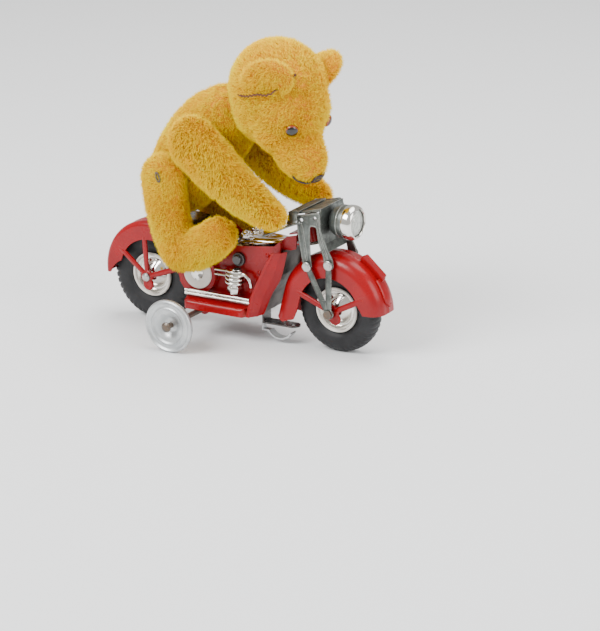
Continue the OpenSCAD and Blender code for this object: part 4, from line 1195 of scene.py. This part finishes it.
bar_parts = [strip("cross_strip", [((73.83, y, 58.6), 3.3 - 0.03 * abs(y)) for y in range(-10, 11, 2)],
                   (0.97, 0, 0.242), 0.7, aged_tin)]
for side in (-1, 1):
    bar_parts.append(strip("bent_end", [((73.85, side * 9.6, 58.55), 2.3), ((73.9, side * 10.4, 58.2), 2.25),
                                        ((74, side * 11.6, 57), 2.1), ((74.2, side * 12.8, 55.4), 2),
                                        ((74.4, side * 13.8, 54.3), 1.9)], (1, 0, 0.1), 0.7, aged_tin))
    bar_parts.append(strip("grip", [((76, side * 14.2, 54.6), 1.1), ((75, side * 14.4, 54.3), 1.5),
                                    ((72, side * 14.9, 52.9), 1.6), ((68, side * 15.6, 50.9), 1.6),
                                    ((64.4, side * 16.3, 49.2), 1.5), ((63.2, side * 16.5, 48.7), 1.1)],
                           (0, 1, 0), 0.8, aged_tin))
ragged = (1.35, 1.4, 1.4, 1.35, 1.3, 0.95, 1.25, 0.7)
bar_parts.append(strip("near_lever", [((73.2 + 0.96 * i, -15, 53.75 + 0.35 * i), half)
                                      for i, half in enumerate(ragged)], (0, 1, 0), 0.75, aged_tin))
far_lever = [((76.2 + 0.97 * t, 12, 58 + 0.242 * t), half)
             for t, half in ((-1.1, 1.3), (-0.6, 1.6), (1, 1.6), (2.6, 1.6), (3.6, 1.8), (4.4, 1.9),
                             (5.2, 1.7), (5.8, 1.2), (6.2, 0.5))]
bar_parts.append(strip("far_lever", far_lever, (0, 1, 0), 0.75, aged_tin))
fitted(joined("handlebar_strip", bar_parts, aged_tin), "handlebar", "steering")
lever_eye = [at(78.2 + 1.0 * math.cos(t), 12 + 1.0 * math.sin(t), 58.75 + 0.242 * math.cos(t))
             for t in eye_turns]
carried(cord_mesh("handlebar_eye", lever_eye, 0.22, dark_steel), "steering")

# ---- Headlamp ----
# The shell is a spun tin bowl with a seam. A bright rolled bezel holds a lens moulded in clear
# glass, with a domed face and upright ribs.

lamp = at(85.4, 0, 54.3)
bowl = [(0, 0), (1.8, 0.1), (3.4, 0.35), (4.6, 0.95), (5.5, 1.8), (6.1, 2.8), (6.5, 3.9), (6.65, 4.6),
        (6.78, 4.75), (6.78, 5.1), (6.6, 5.25), (6.7, 5.4), (6.8, 6.4), (6.8, 7.3), (6.2, 7.3), (5.9, 6.6),
        (5.0, 4.8), (3.6, 3.2), (1.8, 2.4), (0, 2.2)]
fitted(turned("headlamp_bowl", bowl, lamp, aged_tin, axis="X", closed=False, smooth_under=50),
       "headlamp_shell", "steering")
bezel = [(5.4, 11.3), (5.45, 11.7), (5.75, 11.95), (6.15, 11.8), (6.6, 11.3), (6.95, 10.6), (7.1, 9.8),
         (7.12, 8.6), (7.05, 7.8), (6.85, 7.4), (6.1, 7.4), (6.05, 10.6), (5.6, 11.1)]
fitted(turned("headlamp_bezel_ring", bezel, lamp, bright_plate, axis="X", smooth_under=50),
       "headlamp_bezel", "steering")


def build_lens():
    finish = new_finish("lamp_glass", {"Base Color": (0.93, 0.95, 0.9, 1), "Transmission Weight": 0.75,
                                       "IOR": 1.5})
    wear = worn(finish, {"Blotch Scale": 300})
    cloud(finish, wear.outputs["Blotch"], 0.08, 0.3)
    return finish


lens_radius, lens_ball, ball_centre, lens_back = 5.38, 12.4, -0.3, 10.35
rib_depth, rib_pitch, plain_rim = 0.16 * MM, 1.05 * MM, 0.6
radii = [lens_radius * k / 14 for k in range(15)]
face = [(r, math.sqrt(lens_ball ** 2 - r ** 2) + ball_centre) for r in radii]
lens = turned("headlamp_lens_moulding", face + [(lens_radius, lens_back), (0, lens_back)], lamp, build_lens(),
              axis="X", steps=160, closed=False, smooth_under=60)
for vertex in lens.data.vertices:
    if vertex.co.x > lamp.x + 10.5 * MM:
        out = math.hypot(vertex.co.y, vertex.co.z - lamp.z) / MM
        fade = min(1, max(0, (lens_radius - out) / plain_rim))
        vertex.co.x += rib_depth * fade * (math.cos(2 * math.pi * vertex.co.y / rib_pitch) - 1)
fitted(lens, "headlamp_lens", "steering")

# ---- Number plate ----
# A thick red plate stands along the crest of the front fender, soldered to it, and a tab with a
# point closes the seam of the fender below.


def on_crown(out, across):
    """A place in the number plate's plane: out from the fender's centre, and along its crest."""
    turn = math.radians(48.5)
    return (front_fender_x + out * math.cos(turn) - across * math.sin(turn),
            front_fender_z + out * math.sin(turn) + across * math.cos(turn))


corners = [on_crown(*p) for p in ((22.9, -6.4), (25.4, -6.4), (25.6, -6.0), (26.8, -5.8), (26.8, 5.8),
                                  (25.6, 6.0), (25.4, 6.4), (22.9, 6.4))]
plate_parts = [plate("number_plate", rounded_outline(corners, 0.7), -0.7, 1.4, 1, red_enamel, bevel=0.25)]
tab_tip, tab_reach, tab_half = 8, 29, 2.8
tab_rings = []
for step in range(31):
    degrees = tab_tip + tab_reach * step / 30
    half = tab_half * min(1, max(0.03, (degrees - tab_tip) / 9)) ** 0.7
    ring = []
    for out, y in ((23.3, -1), (23.9, -1), (24.25, -0.82), (24.3, -0.2), (24.3, 0.2), (24.25, 0.82),
                   (23.9, 1), (23.3, 1)):
        turn = math.radians(degrees)
        ring.append(at(front_fender_x + out * math.cos(turn), y * half,
                       front_fender_z + out * math.sin(turn)))
    tab_rings.append(ring)
plate_parts.append(skinned("tab", tab_rings, red_enamel, smooth_under=50))
fitted(joined("number_plate_and_tab", plate_parts), "number_plate", "steering")
